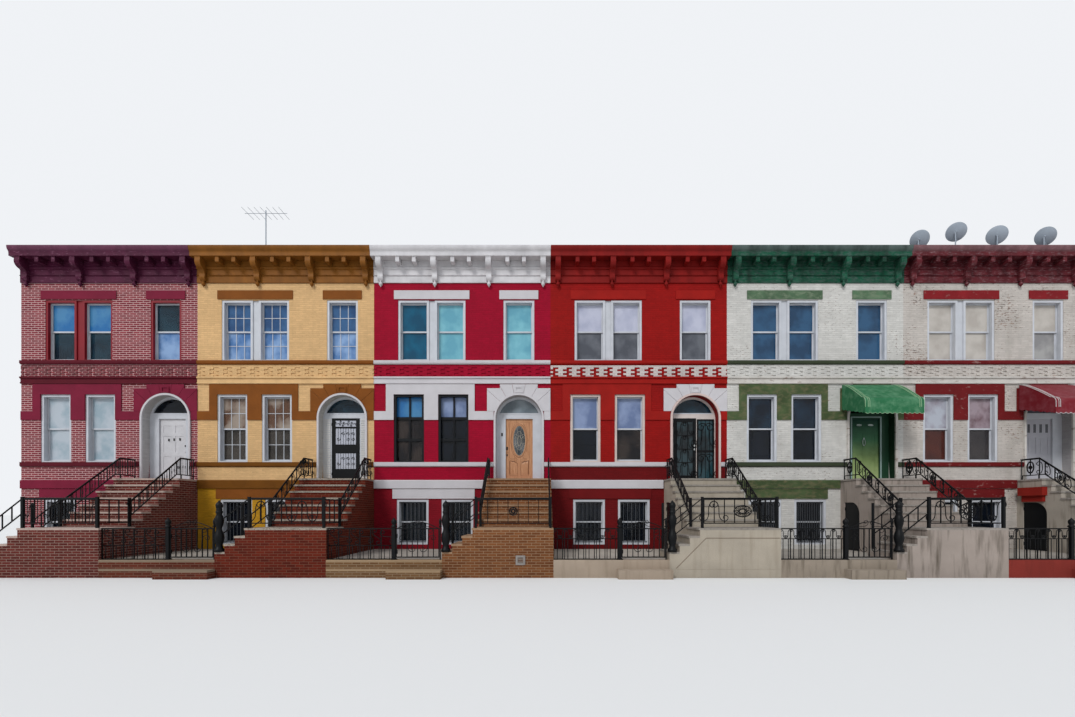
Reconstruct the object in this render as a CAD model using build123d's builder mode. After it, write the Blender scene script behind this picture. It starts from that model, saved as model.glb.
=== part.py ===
from build123d import *
import os

# A row of terraced brick houses with raised stoops, arched doorways and bracketed cornices.
# The lots lie side by side along X, the street is on the -Y side and Z goes up from the pavement.

# The row and its walls
house_count = 6
lot_width = 5715
house_depth = 13700
front_wall = 400
party_wall = 300
rear_wall = 300
stone_joint = 6
running_gap = 8

# Heights above the pavement
curb_top = 450
basement_floor = 300
parlour_floor = 2685
upper_floor = 5850
floor_thickness = 250
roof_front = 9850
roof_rear = 9450
roof_thickness = 250
parapet_height = 200

# Chimney stacks on the party walls
chimney_height = 1100
chimney_setback = 4200
chimney_length = 1250

# Front windows: each pair by its gap and its shift from the middle of the window bay
door_bay_width = 2055
basement_window_width = 1030
basement_window_gap = 420
basement_window_shift = 145
basement_sill_height = 147
parlour_window_width = 980
parlour_window_gap = 460
parlour_window_shift = 20
parlour_sill_height = 575
parlour_head_drop = 344
upper_pair_width = 2180
upper_pair_shift = 40
upper_single_width = 1000
upper_sill_above_floor = 695
mullion_width = 190

# Sash windows
frame_face = 60
frame_depth = 120
window_setback = 110
sash_face = 45
sash_thickness = 38
glass_thickness = 8

# Glazing bars in the second house's sashes, and the third house's parlour frames of six lights
barred_house = 1
glazing_bar = 18
bars_across = 2
six_light_house = 2
light_bar = 50
light_rail = 90
light_rail_shares = (0.335, 0.655)

# Iron grilles over basement windows: for each its house and its number of bays
grille_plan = ((1, 8), (2, 7), (3, 7), (4, 16))
grille_setback = 45
grille_bar = 14
grille_margin = 90
grille_spear = 45

# Rear windows: one column pair a house on each storey
rear_window_width = 1000
rear_window_margin = 1050
rear_window_height = 1500
rear_sill_above_floor = 800

# The arched doorway
doorway_from_right = 1025
doorway_width = 1500
arch_spring_drop = 50
arch_foot_rise = 65
fanlight_rise = 225
fanlight_border = 70
door_frame_setback = 280
door_frame_depth = 100
door_stop = 12

# Front doors: width, offset of the leaf's left edge from the doorway centre, hinge side, swing
leaf_height = 2030
leaf_thickness = 45
leaf_lift = 15
standard_leaf = 914
narrow_leaf = 740
front_door_plan = (
    (standard_leaf, -457, "left", "in"),
    (standard_leaf, -457, "left", "out"),
    (standard_leaf, -457, "right", "in"),
    (narrow_leaf, -630, "left", "out"),
    (standard_leaf, -457, "right", "in"),
    (standard_leaf, -457, "right", "in"),
)
panel_border = 120
panel_recess = 10
hinge_radius = 9
hinge_length = 100
hinge_inset = 200
hinge_arm = 40
hinge_plate = 4
pin_clearance = 0.3
knob_radius = 28
knob_height = 950
knob_inset = 65
door_panels = (
    ((230, 780, 2), (930, 1450, 2), (1560, 1800, 2)),
    ((370, 880, 1), (1175, 1700, 1), (1760, 1960, 1)),
    ((200, 640, 2),),
    ((150, 950, 1), (1100, 1900, 1)),
    ((200, 850, 2), (1000, 1550, 2)),
    ((200, 690, 2), (865, 1410, 2), (1570, 1850, 4)),
)

# Oval lights: for a house, the half width and height, then each centre from the leaf's middle and bottom
door_ovals = {
    2: (200, 495, ((0, 1305),)),
    4: (95, 34, ((-190, 1820), (190, 1820))),
}
oval_border = 35
oval_proud = 10

# The stoop: a landing beside the pavement, a side flight up to it and the main flight to the door
stoop_width = 2035
stoop_reach = 3600
platform_reach = 800
landing_top = 1250
main_risers = 7
tread_depth = 280
side_risers = 4
side_tread_depth = 255
tread_thickness = 50
nosing = 25
passage_reach = 1300
passage_cover = 585
passage_left_wall = 250
passage_right_wall = 200
basement_doorway_drop = 50

# The door in the side of the stoop
stoop_door_near = 200
stoop_door_width = 750
stoop_door_drop = 150
stoop_door_corner = 380
stoop_door_thickness = 35
stoop_door_setback = 30

# The forecourt, its curb, the step at the gate, the fence and the gate
curb_thickness = 200
gate_step_overlaps = (90, 80)
gate_step_reach = 300
gate_step_top = 225
fence_height = 800
fence_post = 80
gate_width = 1170
gate_to_side_flight = 65
gate_ground_gap = 50

# Iron rails
rail_height = 640
landing_rail_height = 740
rail_bend = 150
rail_wall_gap = 80
rail_bar = 28
rail_ground_gap = 110
baluster_width = 16
baluster_spacing = 280
rail_post = 60
rail_post_height = 790
rail_inset = 75
newel_radius = 70
newel_height = 1250
newel_inset = 85
medallion_houses = (4, 5)
medallion_half_width = 115
medallion_half_height = 190
medallion_hub = 55
medallion_rim = 24

# Stone and painted trim across the front
basement_lintel_overlaps = (135, 45)
basement_lintel_gap = 24
basement_lintel_height = 320
water_table_height = 275
water_table_reach = 50
sill_course_height = 150
sill_course_reach = 60
impost_height = 280
surround_borders = (250, 200)
surround_gap = 10
surround_reach = 30
belt_drop = 50
belt_height = 220
belt_reach = 70
upper_sill_height = 120
upper_sill_reach = 70
upper_lintel_gap = 30
upper_lintel_height = 280
frieze_brick = 240
lintel_reach = 25
lintel_overlap = 130
rear_lintel_height = 200
rear_lintel_overlap = 100
rear_sill_height = 90

# The patterned brick frieze under the upper sills
frieze_periods = 13
frieze_courses = 5
frieze_course_height = 62
frieze_band = 60
frieze_proud = 20
frieze_block_starts = (256, 161)
frieze_block_widths = (265, 240)

# The arch over the door
arch_moulding_face = 60
arch_moulding_reach = 60
voussoir_reach = 35
voussoir_joint = 8
voussoir_gap = 4
springer_rise = 165
springer_drop = 150
crown_block_gap = 20
crown_half_width = 610
joint_angles = (11, 30.5, 48)
key_half_width = 130
key_margin = 15
key_height = 200
key_border = 40
key_reach = 25

# The cornice and its brackets
cornice_rise = 210
crown_height = 305
cornice_height = 1000
cornice_reach = 455
frieze_reach = 40
cornice_wall_cover = 150
bracket_width = 170
bracket_margin = 155
brackets_per_house = 4
bracket_reach = 370
modillion_width = 120
modillion_height = 170
modillion_reach = 300
modillions_between = 2
pendant_radius = 60
pendant_neck = 28
pendant_reach = 78
pendant_drop = 170

# Awnings over two doors
awning_houses = (4, 5)
awning_margin = 10
awning_width = 1780
awning_gap = 40
awning_reach = 1200
awning_fall = 800
awning_valance = 360
awning_side_rise = 170
awning_skin = 12
awning_crown = 90

# What stands on the roof
dish_radius = 290
dish_depth = 60
dish_thickness = 12
dish_lift = 22
dish_hub_radius = 40
dish_hub_length = 50
dish_arm = 400
dish_arm_width = 18
dish_feed_radius = 30
dish_feed_length = 90
dish_places = ((4845, 890, 60), (3605, 1150, 52), (2205, 1050, 35), (645, 990, 68))
dish_setback = 100
mast_radius = 18
antenna_from_second_lot = 1380
antenna_setback = 1100
antenna_top = 12330
antenna_boom = 1500
antenna_boom_drop = 110
antenna_element_length = 750
antenna_elements = 7
antenna_rod = 8

# Sizes that follow from those above
row_left = -house_count * lot_width / 2
front_reach = stoop_reach + gate_step_reach
facade_y = (front_reach - house_depth) / 2
rear_y = facade_y + house_depth
lots = [row_left + n * lot_width for n in range(house_count)]
facade = Plane.XZ.offset(-facade_y)
room_front = facade_y + front_wall
room_rear = rear_y - rear_wall

# Heights that follow: the doorway from the leaf, the courses from the floors, the cornice from the roof
leaf_bottom = parlour_floor + leaf_lift
leaf_top = leaf_bottom + leaf_height
arch_spring = leaf_top - arch_spring_drop
arch_foot = arch_spring + arch_foot_rise
fanlight_bottom = arch_spring + fanlight_rise
belt_bottom = upper_floor - belt_drop
cornice_top = roof_front + cornice_rise
cornice_soffit = cornice_top - crown_height
cornice_bottom = cornice_top - cornice_height
water_table_bottom = parlour_floor - water_table_height
basement_lintel_bottom = water_table_bottom - surround_gap - basement_lintel_height
upper_lintel_bottom = cornice_bottom - frieze_brick - upper_lintel_height
basement_window_bottom = curb_top + basement_sill_height
basement_window_top = basement_lintel_bottom - basement_lintel_gap
parlour_window_bottom = parlour_floor + parlour_sill_height
parlour_window_top = belt_bottom - parlour_head_drop
upper_window_bottom = upper_floor + upper_sill_above_floor
upper_window_top = upper_lintel_bottom - upper_lintel_gap
passage_top = parlour_floor - passage_cover
basement_doorway_top = passage_top - basement_doorway_drop
stoop_door_top = passage_top - stoop_door_drop

# Places across one house that follow, from its left lot line
door_bay_left = lot_width - door_bay_width
bay_center = door_bay_left / 2
basement_windows_left = bay_center + basement_window_shift - basement_window_gap / 2 - basement_window_width
parlour_windows_left = bay_center + parlour_window_shift - parlour_window_gap / 2 - parlour_window_width
upper_pair_left = bay_center + upper_pair_shift - upper_pair_width / 2
doorway_center = lot_width - doorway_from_right
doorway_left = doorway_center - doorway_width / 2
doorway_right = doorway_center + doorway_width / 2
arch_radius = doorway_width / 2
upper_single_left = doorway_center - upper_single_width / 2
riser = (parlour_floor - landing_top) / main_risers
side_riser = (landing_top - curb_top) / side_risers
main_treads = main_risers - 1
side_treads = side_risers - 1
landing_near = platform_reach + main_treads * tread_depth
stoop_left = lot_width - stoop_width
side_flight_left = stoop_left - side_treads * side_tread_depth
passage_left = stoop_left + passage_left_wall
passage_right = lot_width - passage_right_wall
gate_right = side_flight_left - gate_to_side_flight
gate_left = gate_right - gate_width
course_left = stone_joint / 2
course_right = lot_width - stone_joint / 2

os.makedirs("parts", exist_ok=True)


def block(left, right, bottom, top, mode=Mode.ADD):
    """A rectangle in the open sketch, by its edges."""
    with Locations(((left + right) / 2, (bottom + top) / 2)):
        Rectangle(right - left, top - bottom, mode=mode)


def outline(*points, mode=Mode.ADD):
    """A straight-sided closed shape in the open sketch."""
    Polygon(*points, align=None, mode=mode)


def side(reach, height):
    """A point of a side profile: how far it stands out from the facade, and its height."""
    return (facade_y - reach, height)


def save(part, name):
    part.label = name
    export_step(part, f"parts/{name}.step")


def in_houses(part, houses):
    """One house's piece repeated in some houses of the row, as a part."""
    return Part() + [Pos(lots[house], 0, 0) * part for house in houses]


def save_row(part, name):
    """Write a node that repeats one house's piece in every house of the row."""
    with BuildPart() as row:
        with Locations(*[(lot, 0, 0) for lot in lots]):
            add(part)
    save(row.part, name)


# Windows of one house: for each kind its width, height and the centres of its openings

pair_sash_width = (upper_pair_width - mullion_width) / 2
pair_sash_lefts = (upper_pair_left, upper_pair_left + pair_sash_width + mullion_width)


def openings(width, bottom, top, lefts):
    middle = (bottom + top) / 2
    return width, top - bottom, [(left + width / 2, middle) for left in lefts]


basement_openings = openings(
    basement_window_width,
    basement_window_bottom,
    basement_window_top,
    (basement_windows_left, basement_windows_left + basement_window_width + basement_window_gap),
)
parlour_openings = openings(
    parlour_window_width,
    parlour_window_bottom,
    parlour_window_top,
    (parlour_windows_left, parlour_windows_left + parlour_window_width + parlour_window_gap),
)
pair_openings = openings(pair_sash_width, upper_window_bottom, upper_window_top, pair_sash_lefts)
pair_opening = openings(upper_pair_width, upper_window_bottom, upper_window_top, (upper_pair_left,))
single_openings = openings(
    upper_single_width, upper_window_bottom, upper_window_top, (upper_single_left,)
)
upper_openings = (pair_openings, single_openings)
rear_openings = [
    openings(
        rear_window_width,
        floor + rear_sill_above_floor,
        floor + rear_sill_above_floor + rear_window_height,
        (rear_window_margin, lot_width - rear_window_margin - rear_window_width),
    )
    for floor in (basement_floor, parlour_floor, upper_floor)
]


def cut_openings(*kinds):
    """Cut window openings out of the open sketch."""
    for width, height, centers in kinds:
        with Locations(*centers):
            Rectangle(width, height, mode=Mode.SUBTRACT)


# Walls

with BuildPart() as window_bay_wall:
    with BuildSketch(facade):
        block(0, door_bay_left, 0, roof_front)
        cut_openings(basement_openings, parlour_openings, pair_opening)
    extrude(amount=-front_wall)
save_row(window_bay_wall.part, "window_bay_walls")

with BuildPart() as door_pier_pair:
    with BuildSketch(facade):
        block(door_bay_left, doorway_left, 0, arch_foot)
        block(doorway_right, lot_width, 0, arch_foot)
    extrude(amount=-front_wall)
save_row(door_pier_pair.part, "door_piers")

with BuildPart() as doorway_sill_wall:
    with BuildSketch(facade):
        block(doorway_left, doorway_right, 0, curb_top)
        block(doorway_left, doorway_right, basement_doorway_top, parlour_floor)
    extrude(amount=-front_wall)
save_row(doorway_sill_wall.part, "doorway_sill_walls")

with BuildPart() as door_head_wall:
    with BuildSketch(facade):
        block(door_bay_left, lot_width, arch_foot, roof_front)
        with Locations((doorway_center, arch_spring)):
            Circle(arch_radius, mode=Mode.SUBTRACT)
        cut_openings(single_openings)
    extrude(amount=-front_wall)
save_row(door_head_wall.part, "door_head_walls")

roof_fall = (roof_front - roof_rear) / (room_rear - room_front)
stack_near = room_front + chimney_setback
stack_far = stack_near + chimney_length
end_wall_lines = [row_left + party_wall / 2, -row_left - party_wall / 2]
wall_lines = [end_wall_lines[0], *lots[1:], end_wall_lines[1]]


def roof_height(y):
    """Height of the sloping roof at a place between the front and rear walls."""
    return roof_front - (y - room_front) * roof_fall


with BuildPart() as party_wall_pieces:
    with BuildSketch(Plane.YZ):
        stack_top = roof_height(stack_near) + parapet_height + chimney_height
        outline(
            (room_front, 0),
            (rear_y, 0),
            (rear_y, roof_height(rear_y) + parapet_height),
            (stack_far, roof_height(stack_far) + parapet_height),
            (stack_far, stack_top),
            (stack_near, stack_top),
            (stack_near, roof_height(stack_near) + parapet_height),
            (room_front, roof_front + parapet_height),
        )
    extrude(amount=party_wall / 2, both=True)
with BuildPart() as party_walls:
    with Locations(*[(line, 0, 0) for line in wall_lines]):
        add(party_wall_pieces.part)
save(party_walls.part, "party_walls")

# The clear span of each house between its party walls
spans = [
    (left + party_wall / 2, right - party_wall / 2)
    for left, right in zip(wall_lines, wall_lines[1:])
]

with BuildPart() as rear_walls:
    with BuildSketch(Plane.XZ.offset(-rear_y)):
        for left, right in spans:
            block(left, right, 0, roof_rear)
        for width, height, centers in rear_openings:
            with Locations(*[(lot + x, z) for lot in lots for x, z in centers]):
                Rectangle(width, height, mode=Mode.SUBTRACT)
    extrude(amount=rear_wall)
save(rear_walls.part, "rear_walls")

# The patterned frieze: a band with blocks stepping down from it, course by course

frieze_period = lot_width / frieze_periods
frieze_bottom = belt_bottom + belt_height
frieze_blocks_top = frieze_bottom + frieze_courses * frieze_course_height

with BuildPart() as brick_frieze:
    with BuildSketch(facade):
        block(0, lot_width, frieze_blocks_top, frieze_blocks_top + frieze_band)
        for row in range(frieze_courses):
            middle = frieze_blocks_top - (row + 0.5) * frieze_course_height
            width = frieze_block_widths[row % 2]
            first = frieze_block_starts[row % 2] + width / 2 - frieze_period
            with Locations(*[(first + n * frieze_period, middle) for n in range(frieze_periods + 1)]):
                Rectangle(width, frieze_course_height)
        block(course_left, course_right, frieze_bottom, frieze_blocks_top + frieze_band, Mode.INTERSECT)
    extrude(amount=frieze_proud)
save_row(brick_frieze.part, "brick_friezes")

# Floors and roofs, carried by the party walls

floor_plans = (
    (basement_floor, basement_floor),
    (parlour_floor, floor_thickness),
    (upper_floor, floor_thickness),
)

with BuildPart() as floors:
    for top, thickness in floor_plans:
        with BuildSketch(Plane.XY.offset(top - thickness)):
            for left, right in spans:
                block(left, right, room_front, room_rear)
        extrude(amount=thickness)
save(floors.part, "floors")

with BuildPart() as roof_decks:
    for left, right in spans:
        with BuildSketch(Plane.YZ.offset(left)):
            outline(
                (room_front, roof_front - roof_thickness),
                (room_rear, roof_rear - roof_thickness),
                (room_rear, roof_rear),
                (room_front, roof_front),
            )
        extrude(amount=right - left)
save(roof_decks.part, "roof_decks")

# The stoops: masonry under stone treads, with a passage to the basement door below the platform

stoop_side = Plane.YZ.offset(stoop_left)


def stepped_masonry(reach):
    """The masonry's stepped top edge under the treads, from the facade out to a reach."""
    top = parlour_floor - tread_thickness
    points = [side(0, top), side(platform_reach, top)]
    near = platform_reach
    while near < reach:
        top -= riser
        far = min(near + tread_depth, reach)
        points += [side(near, top), side(far, top)]
        near += tread_depth
    return points


with BuildPart() as stoop_platform:
    with BuildSketch(stoop_side):
        outline(*stepped_masonry(passage_reach), side(passage_reach, passage_top), side(0, passage_top))
    extrude(amount=stoop_width)
save_row(stoop_platform.part, "stoop_platforms")

with BuildPart() as stoop_flight:
    with BuildSketch(stoop_side):
        outline(*stepped_masonry(landing_near), side(landing_near, 0), side(0, 0))
        block(facade_y - passage_reach, facade_y, 0, parlour_floor, Mode.SUBTRACT)
    extrude(amount=stoop_width)
save_row(stoop_flight.part, "stoop_flights")

with BuildPart() as stoop_landing:
    with BuildSketch(facade.offset(landing_near)):
        top = landing_top - tread_thickness
        points = [(lot_width, 0), (lot_width, top), (stoop_left, top)]
        for n in range(side_treads):
            top -= side_riser
            tread_right = stoop_left - n * side_tread_depth
            points += [(tread_right, top), (tread_right - side_tread_depth, top)]
        outline(*points, (side_flight_left, 0))
    extrude(amount=stoop_reach - landing_near)
save_row(stoop_landing.part, "stoop_landings")

stoop_door_first = facade_y - stoop_door_near
stoop_door_last = stoop_door_first - stoop_door_width
passage_end = facade_y - passage_reach

with BuildPart() as stoop_side_wall:
    with BuildSketch():
        block(stoop_left, passage_left, stoop_door_first, facade_y)
        block(stoop_left, passage_left, passage_end, stoop_door_last)
        block(passage_right, lot_width, passage_end, facade_y)
    extrude(amount=passage_top)
save_row(stoop_side_wall.part, "stoop_side_walls")

with BuildPart() as stoop_door_head:
    with BuildSketch(stoop_side):
        corner_bottom = stoop_door_top - stoop_door_corner
        corner_right = stoop_door_last + stoop_door_corner
        block(stoop_door_last, stoop_door_first, stoop_door_top, passage_top)
        block(stoop_door_last, corner_right, corner_bottom, stoop_door_top)
        with Locations((corner_right, corner_bottom)):
            Circle(stoop_door_corner, mode=Mode.SUBTRACT)
    extrude(amount=passage_left_wall)
save_row(stoop_door_head.part, "stoop_door_heads")

with BuildPart() as stone_tread_set:
    near = 0
    far = platform_reach
    top = parlour_floor
    for n in range(main_risers):
        with BuildSketch(Plane.XY.offset(top - tread_thickness)):
            block(stoop_left - nosing, lot_width, facade_y - far - nosing, facade_y - near)
        extrude(amount=tread_thickness)
        near = far
        far += tread_depth
        top -= riser
    right = lot_width
    left = stoop_left
    for n in range(side_risers):
        overhang = nosing if n < side_treads else 0
        with BuildSketch(Plane.XY.offset(top - tread_thickness)):
            block(left - overhang, right, facade_y - stoop_reach, facade_y - landing_near)
        extrude(amount=tread_thickness)
        right = left
        left -= side_tread_depth
        top -= side_riser
save_row(stone_tread_set.part, "stone_treads")

# Forecourts and curbs

with BuildPart() as forecourt:
    with BuildSketch():
        stoop_front = facade_y - stoop_reach
        block(0, stoop_left, stoop_front + curb_thickness, facade_y)
        block(side_flight_left, stoop_left, stoop_front, facade_y - landing_near, Mode.SUBTRACT)
        block(stoop_left, passage_left, stoop_door_last, stoop_door_first)
        block(passage_left, passage_right, passage_end, facade_y)
    extrude(amount=curb_top)
save_row(forecourt.part, "forecourts")

with BuildPart() as front_curb:
    with BuildSketch():
        block(0, side_flight_left, stoop_front, stoop_front + curb_thickness)
    extrude(amount=curb_top)
    with BuildSketch():
        left = gate_left - gate_step_overlaps[0]
        right = gate_right + gate_step_overlaps[1]
        block(left, right, stoop_front - gate_step_reach, stoop_front)
    extrude(amount=gate_step_top)
save_row(front_curb.part, "front_curbs")

# Fence, gate posts and gates, standing on the curb

fence_y = stoop_front + curb_thickness / 2
fence_plane = Plane.XZ.offset(-fence_y)


def picket_panel(left, right, bottom, top, spacing):
    """A flat iron panel in the open sketch: two rails, end stiles and pickets."""
    block(left, right, bottom, top)
    bays = max(1, round((right - left) / spacing))
    pitch = (right - left - rail_bar) / bays
    height = top - bottom - 2 * rail_bar
    middle = (bottom + top) / 2
    first = left + rail_bar / 2 + pitch / 2
    with Locations(*[(first + n * pitch, middle) for n in range(bays)]):
        Rectangle(pitch - baluster_width, height, mode=Mode.SUBTRACT)


with BuildPart() as area_fence:
    with BuildSketch(fence_plane):
        picket_panel(0, gate_left - fence_post / 2, curb_top, curb_top + fence_height, baluster_spacing)
    extrude(amount=rail_bar / 2, both=True)
save_row(area_fence.part, "area_fences")

gate_hinge_x = gate_left + fence_post / 2 + hinge_radius + pin_clearance
gate_rear = fence_y + rail_bar / 2
gate_hinge_y = gate_rear + hinge_radius
gate_hinge_heights = (curb_top + hinge_inset, curb_top + fence_height - hinge_inset)

with BuildPart() as area_gate:
    with BuildSketch(fence_plane):
        picket_panel(
            gate_left + fence_post / 2 + running_gap,
            gate_right - rail_bar / 2 - running_gap,
            curb_top + gate_ground_gap,
            curb_top + fence_height,
            baluster_spacing / 2,
        )
    extrude(amount=rail_bar / 2, both=True)
    for height in gate_hinge_heights:
        with BuildSketch(Plane.XY.offset(height - hinge_length / 2)):
            with Locations((gate_hinge_x, gate_hinge_y)):
                Circle(hinge_radius)
            block(gate_hinge_x, gate_hinge_x + hinge_arm, gate_rear, gate_rear + hinge_plate)
        extrude(amount=hinge_length)

# Window frames with their two sashes, and the glass


def sash_windows(kinds, plane, inward):
    """Frames with an outer upper sash and an inner lower sash, on the open part."""
    with BuildSketch(plane) as frames:
        for width, height, centers in kinds:
            with Locations(*centers):
                Rectangle(width, height)
                Rectangle(width - 2 * frame_face, height - 2 * frame_face, mode=Mode.SUBTRACT)
    extrude(frames.sketch, amount=-inward * frame_depth)
    for layer, direction in ((1, 1), (2, -1)):
        with BuildSketch(plane.offset(-inward * layer * sash_thickness)) as sashes:
            for width, height, centers in kinds:
                sash_height = height / 2 - frame_face + sash_face / 2
                shift = direction * (height / 2 - frame_face - sash_height / 2)
                with Locations(*[(x, z + shift) for x, z in centers]):
                    Rectangle(width - 2 * frame_face, sash_height)
                    Rectangle(
                        width - 2 * (frame_face + sash_face),
                        sash_height - 2 * sash_face,
                        mode=Mode.SUBTRACT,
                    )
        extrude(sashes.sketch, amount=-inward * sash_thickness)


def sash_glass(kinds, plane, inward):
    """One sheet of glass in each sash, on the open part."""
    for layer, direction in ((1, 1), (2, -1)):
        depth = (layer + 0.5) * sash_thickness - glass_thickness / 2
        with BuildSketch(plane.offset(-inward * depth)) as panes:
            for width, height, centers in kinds:
                sash_height = height / 2 - frame_face + sash_face / 2
                shift = direction * (height / 2 - frame_face - sash_height / 2)
                with Locations(*[(x, z + shift) for x, z in centers]):
                    Rectangle(width - 2 * (frame_face + sash_face), sash_height - 2 * sash_face)
        extrude(panes.sketch, amount=-inward * glass_thickness)


def glazing_bars(kinds, plane):
    """Upright bars and one level bar before the glass of each sash, on the open part."""
    for layer, direction in ((1, 1), (2, -1)):
        with BuildSketch(plane.offset(-layer * sash_thickness)) as bars:
            for width, height, centers in kinds:
                sash_height = height / 2 - frame_face + sash_face / 2
                shift = direction * (height / 2 - frame_face - sash_height / 2)
                pane_width = width - 2 * (frame_face + sash_face)
                with Locations(*[(x, z + shift) for x, z in centers]):
                    Rectangle(pane_width, glazing_bar)
                    with GridLocations(pane_width / (bars_across + 1), 0, bars_across, 1):
                        Rectangle(glazing_bar, sash_height - 2 * sash_face)
        extrude(bars.sketch, amount=-(sash_thickness - glass_thickness) / 2)


def six_lights(border, mode):
    """The bars of the six-light frames in the open sketch, wider by a border all round."""
    width, height, centers = parlour_openings
    with Locations(*centers):
        Rectangle(light_bar, height - border, mode=mode)
        for share in light_rail_shares:
            with Locations((0, (share - 0.5) * height)):
                Rectangle(width - border, light_rail, mode=mode)


front_window_plane = facade.offset(-window_setback)
rear_window_plane = Plane.XZ.offset(-rear_y + window_setback)
every_house = range(house_count)
sash_houses = [house for house in every_house if house != six_light_house]
light_width, light_height, light_centers = parlour_openings

with BuildPart() as common_frames:
    sash_windows((basement_openings, *upper_openings), front_window_plane, 1)
    with BuildSketch(facade.offset(-window_setback / 2)):
        left = upper_pair_left + pair_sash_width
        block(left, left + mullion_width, upper_window_bottom, upper_window_top)
    extrude(amount=-(window_setback / 2 + frame_depth))
with BuildPart() as parlour_frames:
    sash_windows((parlour_openings,), front_window_plane, 1)
with BuildPart() as barred_frames:
    glazing_bars((parlour_openings, *upper_openings), front_window_plane)
with BuildPart() as six_light_frames:
    with BuildSketch(front_window_plane):
        with Locations(*light_centers):
            Rectangle(light_width, light_height)
            Rectangle(light_width - 2 * frame_face, light_height - 2 * frame_face, mode=Mode.SUBTRACT)
        six_lights(frame_face, Mode.ADD)
    extrude(amount=-frame_depth)
with BuildPart() as front_window_frames:
    add(in_houses(common_frames.part, every_house))
    add(in_houses(parlour_frames.part, sash_houses))
    add(in_houses(barred_frames.part, [barred_house]))
    add(in_houses(six_light_frames.part, [six_light_house]))
save(front_window_frames.part, "front_window_frames")

with BuildPart() as rear_window_frame_set:
    sash_windows(rear_openings, rear_window_plane, -1)
save_row(rear_window_frame_set.part, "rear_window_frames")

# Door frames, fanlights and front doors

door_frame_plane = facade.offset(-door_frame_setback)
stop_depth = door_frame_depth - leaf_thickness - running_gap
rebate_depth = leaf_thickness + running_gap

with BuildPart() as door_frames:
    for lot, (leaf_width, leaf_offset, hinge_side, swing) in zip(lots, front_door_plan):
        leaf_left = lot + doorway_center + leaf_offset
        leaf_right = leaf_left + leaf_width
        left = lot + doorway_left
        right = lot + doorway_right
        stop_layer = (0 if swing == "in" else rebate_depth, stop_depth, -door_stop)
        rebate_layer = (stop_depth if swing == "in" else 0, rebate_depth, running_gap)
        for near, depth, lap in (stop_layer, rebate_layer):
            with BuildSketch(door_frame_plane.offset(-near)):
                with Locations((lot + doorway_center, arch_spring)):
                    Circle(arch_radius)
                    Circle(arch_radius - fanlight_border, mode=Mode.SUBTRACT)
                block(left, right, arch_spring - arch_radius, arch_spring, Mode.SUBTRACT)
                block(left, right, parlour_floor, arch_spring)
                inset = fanlight_border / 2
                block(left + inset, right - inset, arch_spring, fanlight_bottom)
                block(leaf_left - lap, leaf_right + lap, parlour_floor, leaf_top + lap, Mode.SUBTRACT)
            extrude(amount=-depth)
save(door_frames.part, "door_frames")

with BuildPart() as common_glass:
    sash_glass((basement_openings, *upper_openings), front_window_plane, 1)
    sash_glass(rear_openings, rear_window_plane, -1)
    with BuildSketch(door_frame_plane.offset(-(door_frame_depth - glass_thickness) / 2)):
        with Locations((doorway_center, arch_spring)):
            Circle(arch_radius - fanlight_border)
        block(doorway_left, doorway_right, arch_spring - arch_radius, fanlight_bottom, Mode.SUBTRACT)
    extrude(amount=-glass_thickness)
with BuildPart() as parlour_glass:
    sash_glass((parlour_openings,), front_window_plane, 1)
with BuildPart() as six_light_glass:
    with BuildSketch(front_window_plane.offset(-(frame_depth - glass_thickness) / 2)):
        with Locations(*light_centers):
            Rectangle(light_width - 2 * frame_face, light_height - 2 * frame_face)
        six_lights(0, Mode.SUBTRACT)
    extrude(amount=-glass_thickness)
with BuildPart() as window_glass:
    add(in_houses(common_glass.part, every_house))
    add(in_houses(parlour_glass.part, sash_houses))
    add(in_houses(six_light_glass.part, [six_light_house]))
save(window_glass.part, "window_glass")

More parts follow.
